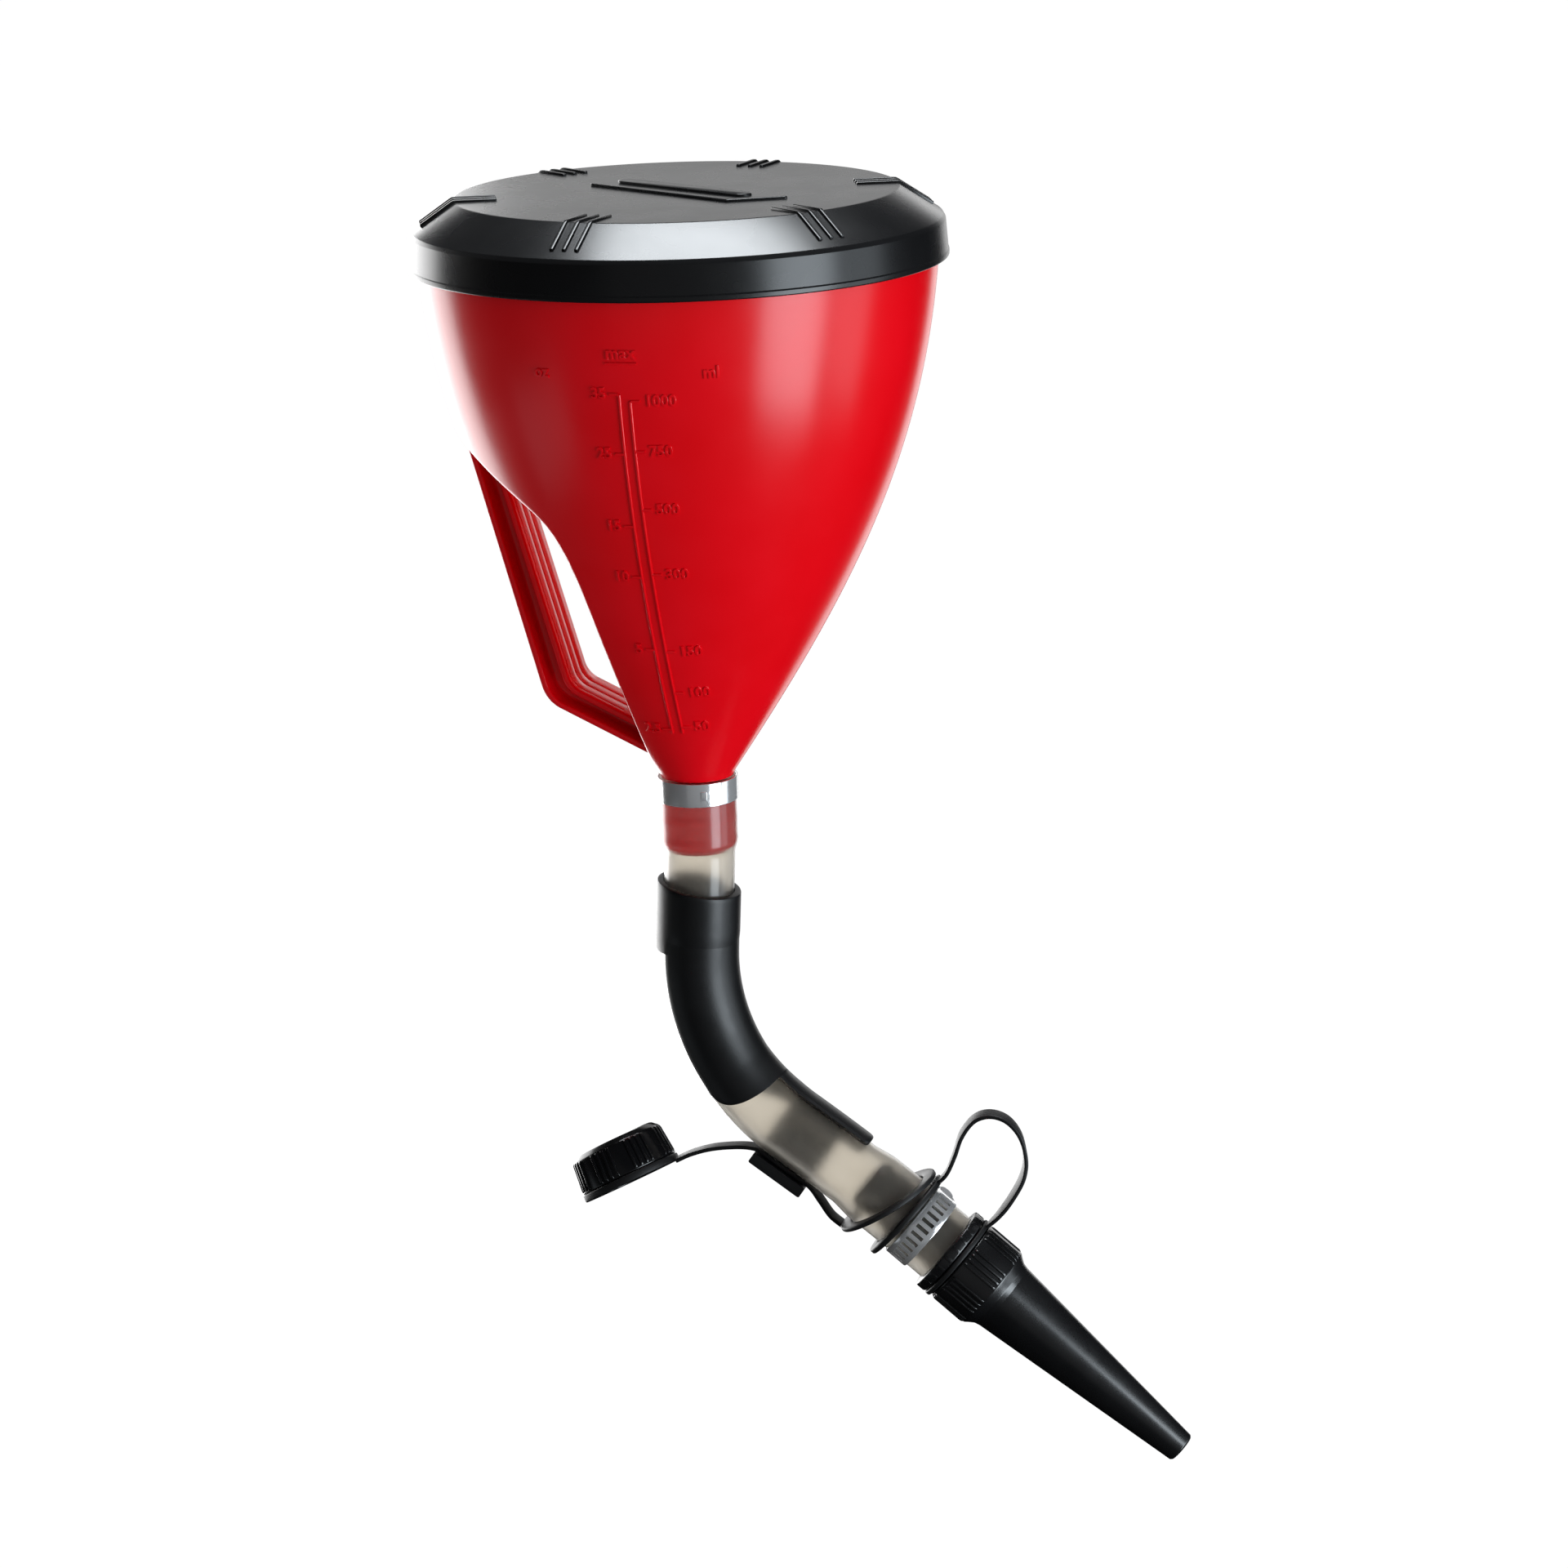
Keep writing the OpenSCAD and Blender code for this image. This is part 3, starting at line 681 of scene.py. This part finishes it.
# ---- hose
def hose_line():
    """Arc length, centre and heading of the hose: plumb, leaning, bend, gentle run. Heading 0 is down."""
    plumb = -0.9 - LEAN_Z
    lean = math.hypot(BEND_IN[0], BEND_IN[1] - LEAN_Z)
    bend = math.radians(90 + LEAN - BEND_OUT_DIP) * BEND_R
    run = math.radians(SPOUT_DIP - BEND_OUT_DIP) * RUN_R
    ease = 4.0
    at = np.cumsum([0, plumb - ease, 2 * ease, lean - ease, bend, run])
    turn = [0, 0, -LEAN, -LEAN, 90 - BEND_OUT_DIP, 90 - SPOUT_DIP]
    s = np.linspace(0, at[-1], 400)
    heading = np.radians(np.interp(s, at, turn))
    step = s[1] - s[0]
    mid = (heading[1:] + heading[:-1]) / 2
    x = np.concatenate([[0], np.cumsum(np.sin(mid)) * step])
    z = -0.9 - np.concatenate([[0], np.cumsum(np.cos(mid)) * step])
    return s, x, z, heading, at


HOSE_S, HOSE_X, HOSE_Z, HOSE_TURN, HOSE_KNOTS = hose_line()
BEND_START, BEND_END, HOSE_END = HOSE_KNOTS[3], HOSE_KNOTS[4], HOSE_KNOTS[5]
FLANGE = np.array([HOSE_X[-1], 0, HOSE_Z[-1]])


def hose_frame(s):
    """Centre, direction and inner side of the hose at arc length s; the across direction is +Y."""
    turn = float(np.interp(s, HOSE_S, HOSE_TURN))
    centre = np.array([np.interp(s, HOSE_S, HOSE_X), 0, np.interp(s, HOSE_S, HOSE_Z)])
    ahead = np.array([math.sin(turn), 0, -math.cos(turn)])
    return centre, ahead, np.array([math.cos(turn), 0, math.sin(turn)])


def around_hose(s, angle, r):
    """A point round the hose: angle 0 is the inner side of the bend, 90 is +Y."""
    centre, _, inner = hose_frame(s)
    a = math.radians(angle)
    return centre + r * (math.cos(a) * inner + math.sin(a) * np.array([0, 1, 0]))


def hose_shape():
    """A wall of even thickness, swollen over the spigot and over the connector's barbs."""
    swell_end = HOSE_END - math.radians(0.56 * (SPOUT_DIP - BEND_OUT_DIP)) * RUN_R
    knots = [0, 21.2, 24.6, swell_end - 3, swell_end + 4, HOSE_END]
    outer = [SWELL_R - 0.1, SWELL_R - 0.1, HOSE_R, HOSE_R, SWELL_R, SWELL_R]
    # soft enough to lie against the spigot
    inner = [SPIGOT_R - 0.04, SPIGOT_R - 0.04, HOSE_BORE_R, HOSE_BORE_R, SWELL_BORE_R, SWELL_BORE_R]
    angles = np.linspace(0, 360, 72, endpoint=False)
    stations = np.linspace(0, HOSE_END - 0.1, 190)
    rings = []
    for s in stations:
        ripple = 0.1 * math.exp(-((s - 14) / 1.6) ** 2) + 0.1 * math.exp(-((s - 21.4) / 1.6) ** 2)
        r = float(np.interp(s, knots, outer)) + ripple
        rings.append([around_hose(s, a, r) for a in angles])
    for edge in (0.5, 1.0):
        rings.append([around_hose(stations[-1], a, SWELL_R - edge) for a in angles])
    for s in stations[::-1]:
        r = float(np.interp(s, knots, inner))
        rings.append([around_hose(s, a, r) for a in angles])
    return Shape().rings(rings, wrap_rows=True)


skin("hose_tube", hose_shape(), "clear_hose", "hose", "hose", crease=50)


# ---- neck clamp
def neck_clamp_shape():
    """A stepless ring with rolled edges, a crimped ear at the back and a small tab in front."""
    r = SWELL_R
    band = rounded([(r, -8.4), (r + 0.55, -8.4), (r + 0.6, -8.2), (r + 0.6, -1.1), (r + 0.55, -0.9),
                    (r, -0.9)], 0.18, 2)
    shape = revolve(band, 144)
    # the ear: a thin loop of band that stands out and is pinched at its foot
    loop = rounded([(r + 0.3, -2.0), (r + 1.5, -1.2), (r + 2.9, -2.5), (r + 2.9, 2.5), (r + 1.5, 1.2),
                    (r + 0.3, 2.0), (r + 0.3, 1.2), (r + 1.2, 0.5), (r + 2.2, 1.6), (r + 2.2, -1.6),
                    (r + 1.2, -0.5), (r + 0.3, -1.2)], 0.35, 3)
    rings = [[(x, y, z) for x, y in loop] for z in (-8.3, -1.0)]
    made = Shape().rings(rings, caps=True).moved(turned((0, 0, 0), 0, 0, 120))
    shape.join(made)
    tab = round_box((0.3, 2.0, 3.0), (r + 0.62, 0, -4.8), 0.14).moved(turned((0, 0, 0), 0, 0, -66))
    shape.join(tab)
    return shape


skin("neck_clamp_ring", neck_clamp_shape(), "steel_band", "hose", "neck_clamp")


# ---- bend guide
def guide_shell(rows, steps=40):
    """Rings of a shell round the hose, with rounded edges.

    Each row is (s, front angle, back angle, inner radius, outer radius). Angles run from the front (-Y)
    side over the inner side of the bend to the back.
    """
    rings = []
    for s, front, back, r_in, r_out in rows:
        t = np.linspace(0, 1, steps)
        round_edge = [(r_out - 0.35, -1.0), (r_out - 0.1, -0.35)]
        outer = [(r_out, front + (back - front) * v) for v in t]
        inner = [(r_in, front + (back - front) * v) for v in t[::-1]]
        degree = math.degrees(1 / r_out)
        lead = [(r, front + k * degree * 0.9) for r, k in round_edge]
        tail = [(r, back - k * degree * 0.9) for r, k in round_edge[::-1]]
        ring = lead + outer + tail + inner
        rings.append([around_hose(s, a, r) for r, a in ring])
    return rings


# radii of the collar, the C-section and the bore; angles of the C's edges and of the tongue's front edge
GUIDE_COLLAR_R, GUIDE_WALL_R, GUIDE_INNER_R = 13.4, 12.8, 11.45
C_HALF, TONGUE_EDGE = 126.0, 13.0
COLLAR_TOP_Z, COLLAR_LEN, COLLAR_SLANT = -36.8, 21.2, 8


def collar_shape():
    """The closed collar, its top edge higher on the outer side of the bend."""
    collar_r, inner_r, window = GUIDE_COLLAR_R, GUIDE_INNER_R, COLLAR_LEN
    rings = []
    angles = np.linspace(-180, 180, 120, endpoint=False)
    collar_rows = [(0.0, inner_r), (0.0, collar_r - 0.45), (0.15, collar_r - 0.12), (0.5, collar_r)]
    collar_rows += [(k * 1.6, collar_r) for k in range(1, 12)]
    collar_rows += [(window - 0.5, collar_r), (window - 0.12, collar_r - 0.15), (window, collar_r - 0.5),
                    (window, inner_r)]
    for depth, full_r in collar_rows:
        ring = []
        for a in angles:
            # over the C-section the collar's lower end sinks gently under it
            sinks = depth > window - 7 and full_r > inner_r
            over = float(np.clip((C_HALF - abs(a)) / 12, 0, 1)) if sinks else 0.0
            r = full_r * (1 - over) + over * (collar_r - 0.5 * (depth - window + 7) / 7)
            tilt = math.tan(math.radians(COLLAR_SLANT)) * r * math.cos(math.radians(a))
            high = (-0.9 - COLLAR_TOP_Z) + 0.3 + tilt
            s = high + depth * (1 - 0.08 * math.cos(math.radians(a)))
            ring.append(around_hose(s, a, r))
        rings.append(ring)
    return Shape().rings(rings, wrap_rows=True)


def guide_body_shape():
    """The collar, and the C-section that narrows to a tongue over the top of the hose."""
    collar = collar_shape()
    c_start = 41.0
    lobe_end = BEND_START + math.radians(45.4) * BEND_R
    tongue_end = BEND_END + math.radians(0.36 * (SPOUT_DIP - BEND_OUT_DIP)) * RUN_R
    rows = []
    stations = np.concatenate([np.linspace(c_start, lobe_end - 10, 50),
                               np.linspace(lobe_end - 10, lobe_end, 34)[1:],
                               np.linspace(lobe_end, tongue_end - 2, 36)[1:],
                               np.linspace(tongue_end - 2, tongue_end, 8)[1:]])
    for s in stations:
        # front edge: full C, rounded lobe end, fillet, then the narrow tongue over the top of the hose
        left = (lobe_end - s) / 10.0
        front = -TONGUE_EDGE
        if left >= 1:
            front = -C_HALF
        elif left > 0 and s <= lobe_end - 0.01:
            front = -C_HALF + (C_HALF - TONGUE_EDGE) * (1 - math.sqrt(max(1 - (1 - left) ** 2, 0)))
        close = max(0.0, (s - (tongue_end - 2)) / 2)
        squeeze = 1 - math.sqrt(max(1 - close ** 2, 0))
        back = float(np.interp(s, [lobe_end - 8, lobe_end + 10], [C_HALF, 76]))
        middle = (front + back) / 2
        front, back = front + (middle - front) * 0.25 * squeeze, back + (middle - back) * 0.25 * squeeze
        r_out = float(np.interp(s, [c_start, 58, lobe_end - 12, lobe_end + 8],
                                [GUIDE_COLLAR_R - 0.22, GUIDE_COLLAR_R - 0.2, GUIDE_WALL_R, 13.5]))
        rows.append((s, front, back, GUIDE_INNER_R, r_out - 0.6 * squeeze))
    body = Shape().rings(guide_shell(rows), caps=True)
    collar.join(body)
    return collar


def hook_shape():
    """The hook at the end of the guide: a thick eccentric C that grips the hose from behind and below."""
    outer_r, outer_off, inner_r, inner_off = 15.7, 1.9, 12.6, 1.2
    # local +X is the underside of the hose and +Y the back; the C runs round the back to the top
    points = [(outer_off + outer_r * math.cos(v), outer_r * math.sin(v))
              for v in np.radians(np.linspace(-16, 139, 44))]
    inner = [(inner_off + inner_r * math.cos(v), inner_r * math.sin(v))
             for v in np.radians(np.linspace(-16, 127, 40))]
    outline = rounded(points + inner[::-1], [0.8] + [0] * 42 + [0.8, 0.8] + [0] * 38 + [0.8], 3)
    middle, mean_r = np.array([1.5, 0.0]), 14.2
    rings = []
    for z, shrink in ((-10, 0.5), (-9.8, 0.2), (-9.4, 0), (9.4, 0), (9.8, 0.2), (10, 0.5)):
        ring = []
        for p in outline:
            offset = np.array(p) - middle
            reach = np.linalg.norm(offset)
            ring.append((*(middle + offset * (1 + (mean_r - reach) / reach * shrink * 0.35)), z))
        rings.append(ring)
    return Shape().rings(rings, caps=True).moved(turned((31.3, 0, -120.2), 125))


skin("guide_body", guide_body_shape(), "black_matte", "hose", "bend_guide", crease=40)
skin("guide_hook", hook_shape(), "black_matte", "hose", "bend_guide", crease=40)

AT_FLANGE = turned(FLANGE, 90 + SPOUT_DIP)


# ---- connector
def connector_shape():
    """Barbs, ribbed flange and threaded end, turned about the hose's own direction."""
    thread = [(11.2, 4.6)]
    for k in range(4):
        z = 6.2 + 3.4 * k
        thread += [(10.5, z - 0.9), (11.2, z), (11.2, z + 0.5), (10.5, z + 1.4)]
    outline = [(6.5, -33), (7.6, -33), (8.9, -29.5), (8.2, -29.5), (9.0, -23), (8.2, -23), (9.0, -16.5),
               (8.2, -16.5), (8.8, -3), (8.8, 0), (15, 0), (15, 3.6), (11.2, 3.6)]
    outline += thread[1:] + [(10.5, 20), (6.5, 20)]
    radii = [0.3, 0.5] + [0.25] * 7 + [0.2, 0.5, 0.5, 0.2] + [0.2] * (len(thread) - 1) + [0.4, 0.4]
    shape = revolve(rounded(outline, radii, 3), 128)
    # grip ribs round the flange
    for k in range(24):
        rib = round_box((0.5, 1.3, 2.6), (14.85, 0, 1.8), 0.2, 2).moved(turned((0, 0, 0), 0, 0, k * 15))
        shape.join(rib)
    return shape.moved(AT_FLANGE)


skin("connector_body", connector_shape(), "black_satin", "hose", "connector")


# ---- worm clamp
def clamp_band_shape():
    """A thin band whose worm slots are cut right through, with rolled edges."""
    r_in, r_out = 12.35, 13.05
    low, high = CLAMP_Z - BAND_W / 2, CLAMP_Z + BAND_W / 2
    slot_low, slot_high = CLAMP_Z - 2.25, CLAMP_Z + 2.25
    levels = [low, low + 0.25, slot_low, slot_high, high - 0.25, high]
    edges = []
    half = math.degrees(SLOT_HALF_W / 12.7)
    third = (SLOT_PITCH - 2 * half) / 3
    for k in range(360 // SLOT_PITCH):
        middle = (FIRST_SLOT + SLOT_PITCH * k) % 360
        edges.append((middle - half, k < SLOT_COUNT))
        edges += [(middle + half + third * j, False) for j in range(3)]
    edges = [(a % 360, cut) for a, cut in edges]
    edges.sort()
    n = len(edges)
    points, faces = [], []
    for r in (r_in, r_out):
        for z in levels:
            for a, cut in edges:
                reach = r - (0.15 if r == r_out and z in (low, high) else 0)
                points.append(polar(reach, math.radians(a), z))

    def at(layer, level, j):
        return (layer * len(levels) + level) * n + j % n

    def across_wall(level, j):
        return at(0, level, j), at(0, level, j + 1), at(1, level, j + 1), at(1, level, j)

    for j in range(n):
        for level in range(len(levels) - 1):
            hole = edges[j][1] and level == 2
            for layer in (0, 1):
                if not hole:
                    faces.append((at(layer, level, j), at(layer, level, j + 1), at(layer, level + 1, j + 1),
                                  at(layer, level + 1, j)))
            if hole:
                faces += [across_wall(level, j), across_wall(level + 1, j)]
                for side in (j, j + 1):
                    faces.append((at(0, level, side), at(0, level + 1, side), at(1, level + 1, side),
                                  at(1, level, side)))
        faces += [across_wall(0, j), across_wall(len(levels) - 1, j)]
    return Shape().add(points, faces).moved(AT_FLANGE)


def clamp_housing_shape():
    """The stamped worm housing: a saddle with an arched roof over the screw and two pressed side lips."""
    low, half, wall = 13.15, 4.6, 0.8

    def arch(reach, rise, angles):
        return [(SCREW_Y + 0.3 + reach * math.sin(v), CLAMP_Z + rise * math.cos(v))
                for v in np.radians(angles)]

    loop = [(low, CLAMP_Z + half)] + arch(4.15, 4.5, np.linspace(0, 180, 19)) + [(low, CLAMP_Z - half)]
    loop += [(low, CLAMP_Z - half + wall)] + arch(4.15 - wall, 4.5 - wall, np.linspace(180, 0, 19))
    loop += [(low, CLAMP_Z + half - wall)]
    rings = []
    for x, shrink in ((-6, 0.12), (-5.85, 0), (5.85, 0), (6, 0.12)):
        rings.append([(x, y - (shrink if y > low + 1 else 0), z) for y, z in loop])
    shape = Shape().rings(rings, caps=True)
    for side in (-1, 1):
        strap = round_box((12, 0.7, 1.4), (0, low + 0.3, CLAMP_Z + side * 4.0), 0.2, 2)
        shape.join(strap)
    return shape.moved(AT_FLANGE)


def clamp_screw_shape():
    """The worm with its thread, and a hollow hexagon head with a bar across it."""
    shape = Shape()
    pitch, root, crest = 2.4, 2.6, 3.15
    rings = []
    rows = 150
    for i in range(rows + 1):
        x = -7.4 + 14.6 * i / rows
        ring = []
        for k in range(40):
            a = 2 * math.pi * k / 40
            phase = (x / pitch - k / 40) % 1.0
            height = max(0.0, 1 - abs(phase - 0.5) / 0.3)
            ends = min(1.0, (i / rows) * 12, (1 - i / rows) * 12)
            r = root + (crest - root) * min(1.0, height * 1.6) * ends
            ring.append(polar(r, a, x))
        rings.append(ring)
    shape.rings(rings, caps=True)
    corners = [polar(4.2, math.radians(60 * k), 0)[:2] for k in range(6)]
    outline = rounded(corners, 0.5, 3)
    head = []
    for z, scale in ((7.4, 0.94), (7.7, 1.0), (10.3, 1.0), (10.7, 0.95), (11.0, 0.86), (10.7, 0.45),
                     (10.3, 0.40)):
        head.append([(x * scale, y * scale, z) for x, y in outline])
    shape.rings(head, caps=True)
    blade = round_box((7.0, 1.0, 0.5), (0, 0, 10.7), 0.1, 2)
    shape.join(blade)
    seat = turned((0, SCREW_Y, CLAMP_Z), 90)
    return shape.moved(seat).moved(AT_FLANGE)


skin("clamp_band_strip", clamp_band_shape(), "steel_band", "hose", "clamp_band")
skin("clamp_worm_housing", clamp_housing_shape(), "steel_band", "hose", "clamp_housing")
skin("clamp_worm_screw", clamp_screw_shape(), "steel_screw", "clamp_screw", "clamp_screw")


# ---- tethers
# routes of the straps' middles as (x, z), all at y = 0, and the straps' roll in degrees along them
CAP_STRAP = [(-11.2, -130.4), (-6, -127.8), (1, -125.6), (9, -124.5), (14.5, -124.6), (18.0, -126.0),
             (25.4, -131.2), (32.6, -136.3), (36.2, -141.2), (39.6, -146.2), (43.4, -149.3)]
NOZZLE_STRAP = [(75.2, -132.9), (78.0, -129.6), (80.6, -123.5), (83.0, -116.6), (87.3, -111.0),
                (92.6, -109.2), (98.0, -110.9), (102.0, -116.0), (103.6, -123.5), (102.4, -130.2),
                (98.6, -137.4), (94.6, -143.0), (91.2, -146.6)]
NO_ROLL = (0, 0)
NOZZLE_STRAP_ROLL = (0, 10, 16, 12, 0, -14, -22, -18, 0)
STRAP_T, STRAP_W = 1.3, 5.0


def strap_shape(route, twist):
    """A moulded strap of even width with rounded edges; twist is its roll at even steps along it."""
    path = [np.array([x, 0, z]) for x, z in smooth_path(route, 10)]
    ahead = directions(path)
    thick, wide = STRAP_T / 2, STRAP_W / 2
    section = rounded(oblong(-thick, -wide, thick, wide), 0.4, 3)
    rings = []
    for i, (centre, t) in enumerate(zip(path, ahead)):
        roll = math.radians(np.interp(i / (len(path) - 1), np.linspace(0, 1, len(twist)), twist))
        flat, across = np.array([-t[2], 0, t[0]]), np.array([0, 1, 0])
        normal = flat * math.cos(roll) - across * math.sin(roll)
        side = across * math.cos(roll) + flat * math.sin(roll)
        rings.append([centre + normal * n + side * b for n, b in section])
    return Shape().rings(rings, caps=True)


def ring_shape(r_in, r_out, low, high, frame_at, fillet=0.5):
    return revolve(rounded(oblong(r_in, low, r_out, high), fillet, 3), 128).moved(frame_at)


def strap_piece(name, route, twist, node_name):
    strap = piece(name, strap_shape(route, twist), MAT["tether"])
    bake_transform(strap)
    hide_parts(node_name)


CAP_ORIGIN, CAP_LEAN_Y, CAP_LEAN_X = (-26.6, 0, -138.9), -28.4, -12
# OpenSCAD's rotate([x, y, 0]) turns about X first and then about Y
AT_CAP = turned(CAP_ORIGIN, CAP_LEAN_Y, CAP_LEAN_X)

AT_CAP_LOOP, AT_NOZZLE_LOOP = turned((58.5, 0, -140.3), 149.2), turned((64.4, 0, -144.7), 132.5)
skin("cap_tether_loop", ring_shape(13.4, 17.6, -0.8, 0.8, AT_CAP_LOOP), "tether", "hose", "cap_tether_ring")
strap_piece("cap_tether_band", CAP_STRAP, NO_ROLL, "cap_tether_strap")
skin("cap_tether_neck_ring", ring_shape(14.7, 16.8, 0, 2.4, AT_CAP, 0.4), "tether", "cap_arm",
     "cap_tether_collar")
skin("nozzle_tether_loop", ring_shape(12.6, 16.5, -1.0, 1.0, AT_NOZZLE_LOOP, 0.6), "tether", "hose",
     "nozzle_tether_ring")
strap_piece("nozzle_tether_band", NOZZLE_STRAP, NOZZLE_STRAP_ROLL, "nozzle_tether_strap")
skin("nozzle_tether_neck_ring", ring_shape(13.1, 15.2, 3.95, 5.65, AT_FLANGE), "tether", "nozzle_carrier",
     "nozzle_tether_collar")


# ---- cap and nozzle
def grip_ribs(r, low, high, groups, count, pitch, first, taper, height=0.55, width=1.0):
    """Groups of upright ribs round a cylinder; taper is how far the wall leans in over their length."""
    shape = Shape()
    half = width / 2
    section = rounded([(-0.4, -half), (height, -half * 0.8), (height, half * 0.8), (-0.4, half)],
                      [0, 0.3, 0.3, 0], 3)
    for group in range(groups):
        for k in range(count):
            out, side = outward(math.radians(first + group * 360 / groups + (k - (count - 1) / 2) * pitch))
            rings = []
            for t, rise in ((0.0, 0.15), (0.03, 0.7), (0.08, 1.0), (0.92, 1.0), (0.97, 0.7), (1.0, 0.15)):
                base = out * (r - taper * t) + UP * (low + (high - low) * t)
                rings.append([base + out * (n if n < 0 else n * rise) + side * b for n, b in section])
            shape.rings(rings, caps=True)
    return shape


def cap_shape():
    """A ribbed screw cap with a collar groove, and its thread inside the bore."""
    outline = [(11.5, 0), (14.5, 0), (14.5, 2.5), (16.5, 2.5), (15.45, 13.0), (13.2, 15), (0.01, 15),
               (0.01, 13.2), (11.5, 13.2)]
    shape = revolve(rounded(outline, [0.3, 0.3, 0.2, 0.5, 1.6, 2.0, 0, 0, 0.5], 5), 144, close=False)
    ribs = grip_ribs(16.35, 3.1, 13.0, 8, 4, 7.5, 0, 0.95, 0.5, 1.1)
    shape.join(ribs)
    for k in range(3):
        z = 3.2 + 3.2 * k
        ring = revolve([(11.55, z - 0.7), (11.15, z), (11.15, z + 0.4), (11.55, z + 1.1)], 96)
        shape.join(ring)
    return shape.moved(AT_CAP)


def nozzle_shape():
    """The ribbed nut and the tapering spout in one piece."""
    outline = [(11.5, 3.9), (12.8, 3.9), (12.8, 6), (14.4, 6), (14.4, 19.6), (13.5, 20.8), (12.4, 22.4),
               (11.95, 24.2), (5.15, 98.4), (4.55, 99), (3.85, 99), (3.85, 87), (10, 26), (11.5, 23.5)]
    radii = [0.2, 0.2, 0.2, 0.5, 0.8, 0.8, 0.8, 1.0, 0.5, 0.3, 0.2, 1.0, 1.0, 0.3]
    shape = revolve(rounded(outline, radii, 4), 144)
    ribs = grip_ribs(14.3, 6.7, 19.3, 8, 4, 7.5, 10, 0.0, 0.6, 1.1)
    shape.join(ribs)
    return shape.moved(AT_FLANGE)


skin("cap_shell", cap_shape(), "cap_black", "cap", "cap")
disc = revolve(rounded(oblong(0.01, 12.0, 11.3, 13.2), [0, 0.4, 0.3, 0], 3), 96, close=False)
skin("cap_sealing_disc", disc.moved(AT_CAP), "seal_rubber", "cap", "cap_seal")
skin("nozzle_spout", nozzle_shape(), "black_satin", "nozzle", "nozzle")
seal = revolve(rounded(oblong(7.5, 20.6, 11.2, 22), 0.35, 3), 96)
skin("nozzle_sealing_ring", seal.moved(AT_FLANGE), "seal_rubber", "nozzle", "nozzle_seal")


# ---- floor, lights, camera
VIEW_AZ, VIEW_EL, VIEW_ROLL = 14.5, 15.2, 1.77
CAMERA_AT = Vector((0.373156, -1.333854, 0.371341))
LENS, SENSOR = 104.2, 36.0
FLOOR_Z = -0.42


def camera():
    """A long lens from the front right and above, level but for a slight roll."""
    az, el, roll = math.radians(VIEW_AZ), math.radians(VIEW_EL), math.radians(VIEW_ROLL)
    ahead = Vector((-math.sin(az) * math.cos(el), math.cos(az) * math.cos(el), -math.sin(el)))
    right = Vector((math.cos(az), math.sin(az), 0))
    up = right.cross(ahead)
    right, up = right * math.cos(roll) - up * math.sin(roll), right * math.sin(roll) + up * math.cos(roll)
    data = bpy.data.cameras.new("camera")
    data.lens, data.sensor_width = LENS, SENSOR
    obj = bpy.data.objects.new("camera", data)
    obj.matrix_world = Matrix((right, up, -ahead)).transposed().to_4x4()
    obj.matrix_world.translation = CAMERA_AT
    bpy.context.scene.collection.objects.link(obj)
    bpy.context.scene.camera = obj


def studio_floor():
    """A wide white sweep, well under the spout; it stays out of reflections so that black stays black."""
    half = 12.0
    shape = Shape()
    line = np.linspace(-half, half, 13) / MM
    shape.add([(x, y, FLOOR_Z / MM) for y in line for x in line], grid_faces(13, 13, wrap_columns=False))
    mat = new_material("white_floor", (0.02, 0.02, 0.02), 0.9, Specular_IOR_Level=0.0,
                       Emission_Strength=1.0)
    mat.node_tree.nodes["Principled BSDF"].inputs["Emission Color"].default_value = (1, 1, 1, 1)
    vary_color(mat, noise(mat, 0.7, 2), (0.018, 0.018, 0.018), (0.022, 0.022, 0.022))
    floor = piece("studio_floor", shape, mat)
    floor.visible_glossy = False
    floor.visible_shadow = False
    floor.visible_diffuse = False


def softbox(name, azimuth, distance, z, size, radiance, color=(1, 1, 1)):
    """A rectangular light at an azimuth round the bowl, upright and facing its axis, in metres."""
    a = math.radians(azimuth)
    data = bpy.data.lights.new(name, "AREA")
    data.shape, data.size, data.size_y = "RECTANGLE", *size
    data.energy, data.color = radiance * math.pi * size[0] * size[1], color
    obj = bpy.data.objects.new(name, data)
    obj.location = (distance * math.cos(a), distance * math.sin(a), z)
    obj.rotation_euler = (math.radians(90), 0, a + math.radians(90))
    obj.visible_camera = False
    obj.visible_transmission = False
    bpy.context.scene.collection.objects.link(obj)
    return obj


def lights():
    cool = (0.84, 0.93, 1.0)
    softbox("panel_left_back", 138, 1.3, -0.2, (1.3, 1.3), 4.6)
    softbox("panel_right_back", 84, 1.5, -0.2, (0.46, 1.4), 1.3)
    softbox("panel_back", 104.5, 2.2, 0.8, (1.6, 1.0), 0.72)
    softbox("box_right_front", -23, 1.6, -0.25, (0.84, 1.3), 7.4, cool)
    softbox("box_right", 8, 1.7, -0.2, (0.6, 1.2), 1.8, cool)
    softbox("panel_front", -75.5, 2.6, 0.0, (3.0, 2.0), 0.08)
    softbox("panel_low_left", -150, 1.6, -0.9, (0.9, 0.5), 0.5, cool)
    overhead = softbox("box_overhead", 0, 0, 1.4, (0.9, 0.55), 19, (0.91, 0.96, 1.0))
    overhead.location = (0.034, 0.21, 1.4)
    overhead.rotation_euler = (0, 0, math.radians(VIEW_AZ))
    world = bpy.data.worlds.new("world")
    world.use_nodes = True
    world.node_tree.nodes["Background"].inputs["Color"].default_value = (1, 1, 1, 1)
    world.node_tree.nodes["Background"].inputs["Strength"].default_value = 0.3
    world.cycles_visibility.glossy = False
    bpy.context.scene.world = world
    view = bpy.context.scene.view_settings
    view.view_transform, view.look, view.exposure, view.gamma = "Standard", "None", 0.0, 1.0


camera()
studio_floor()
lights()
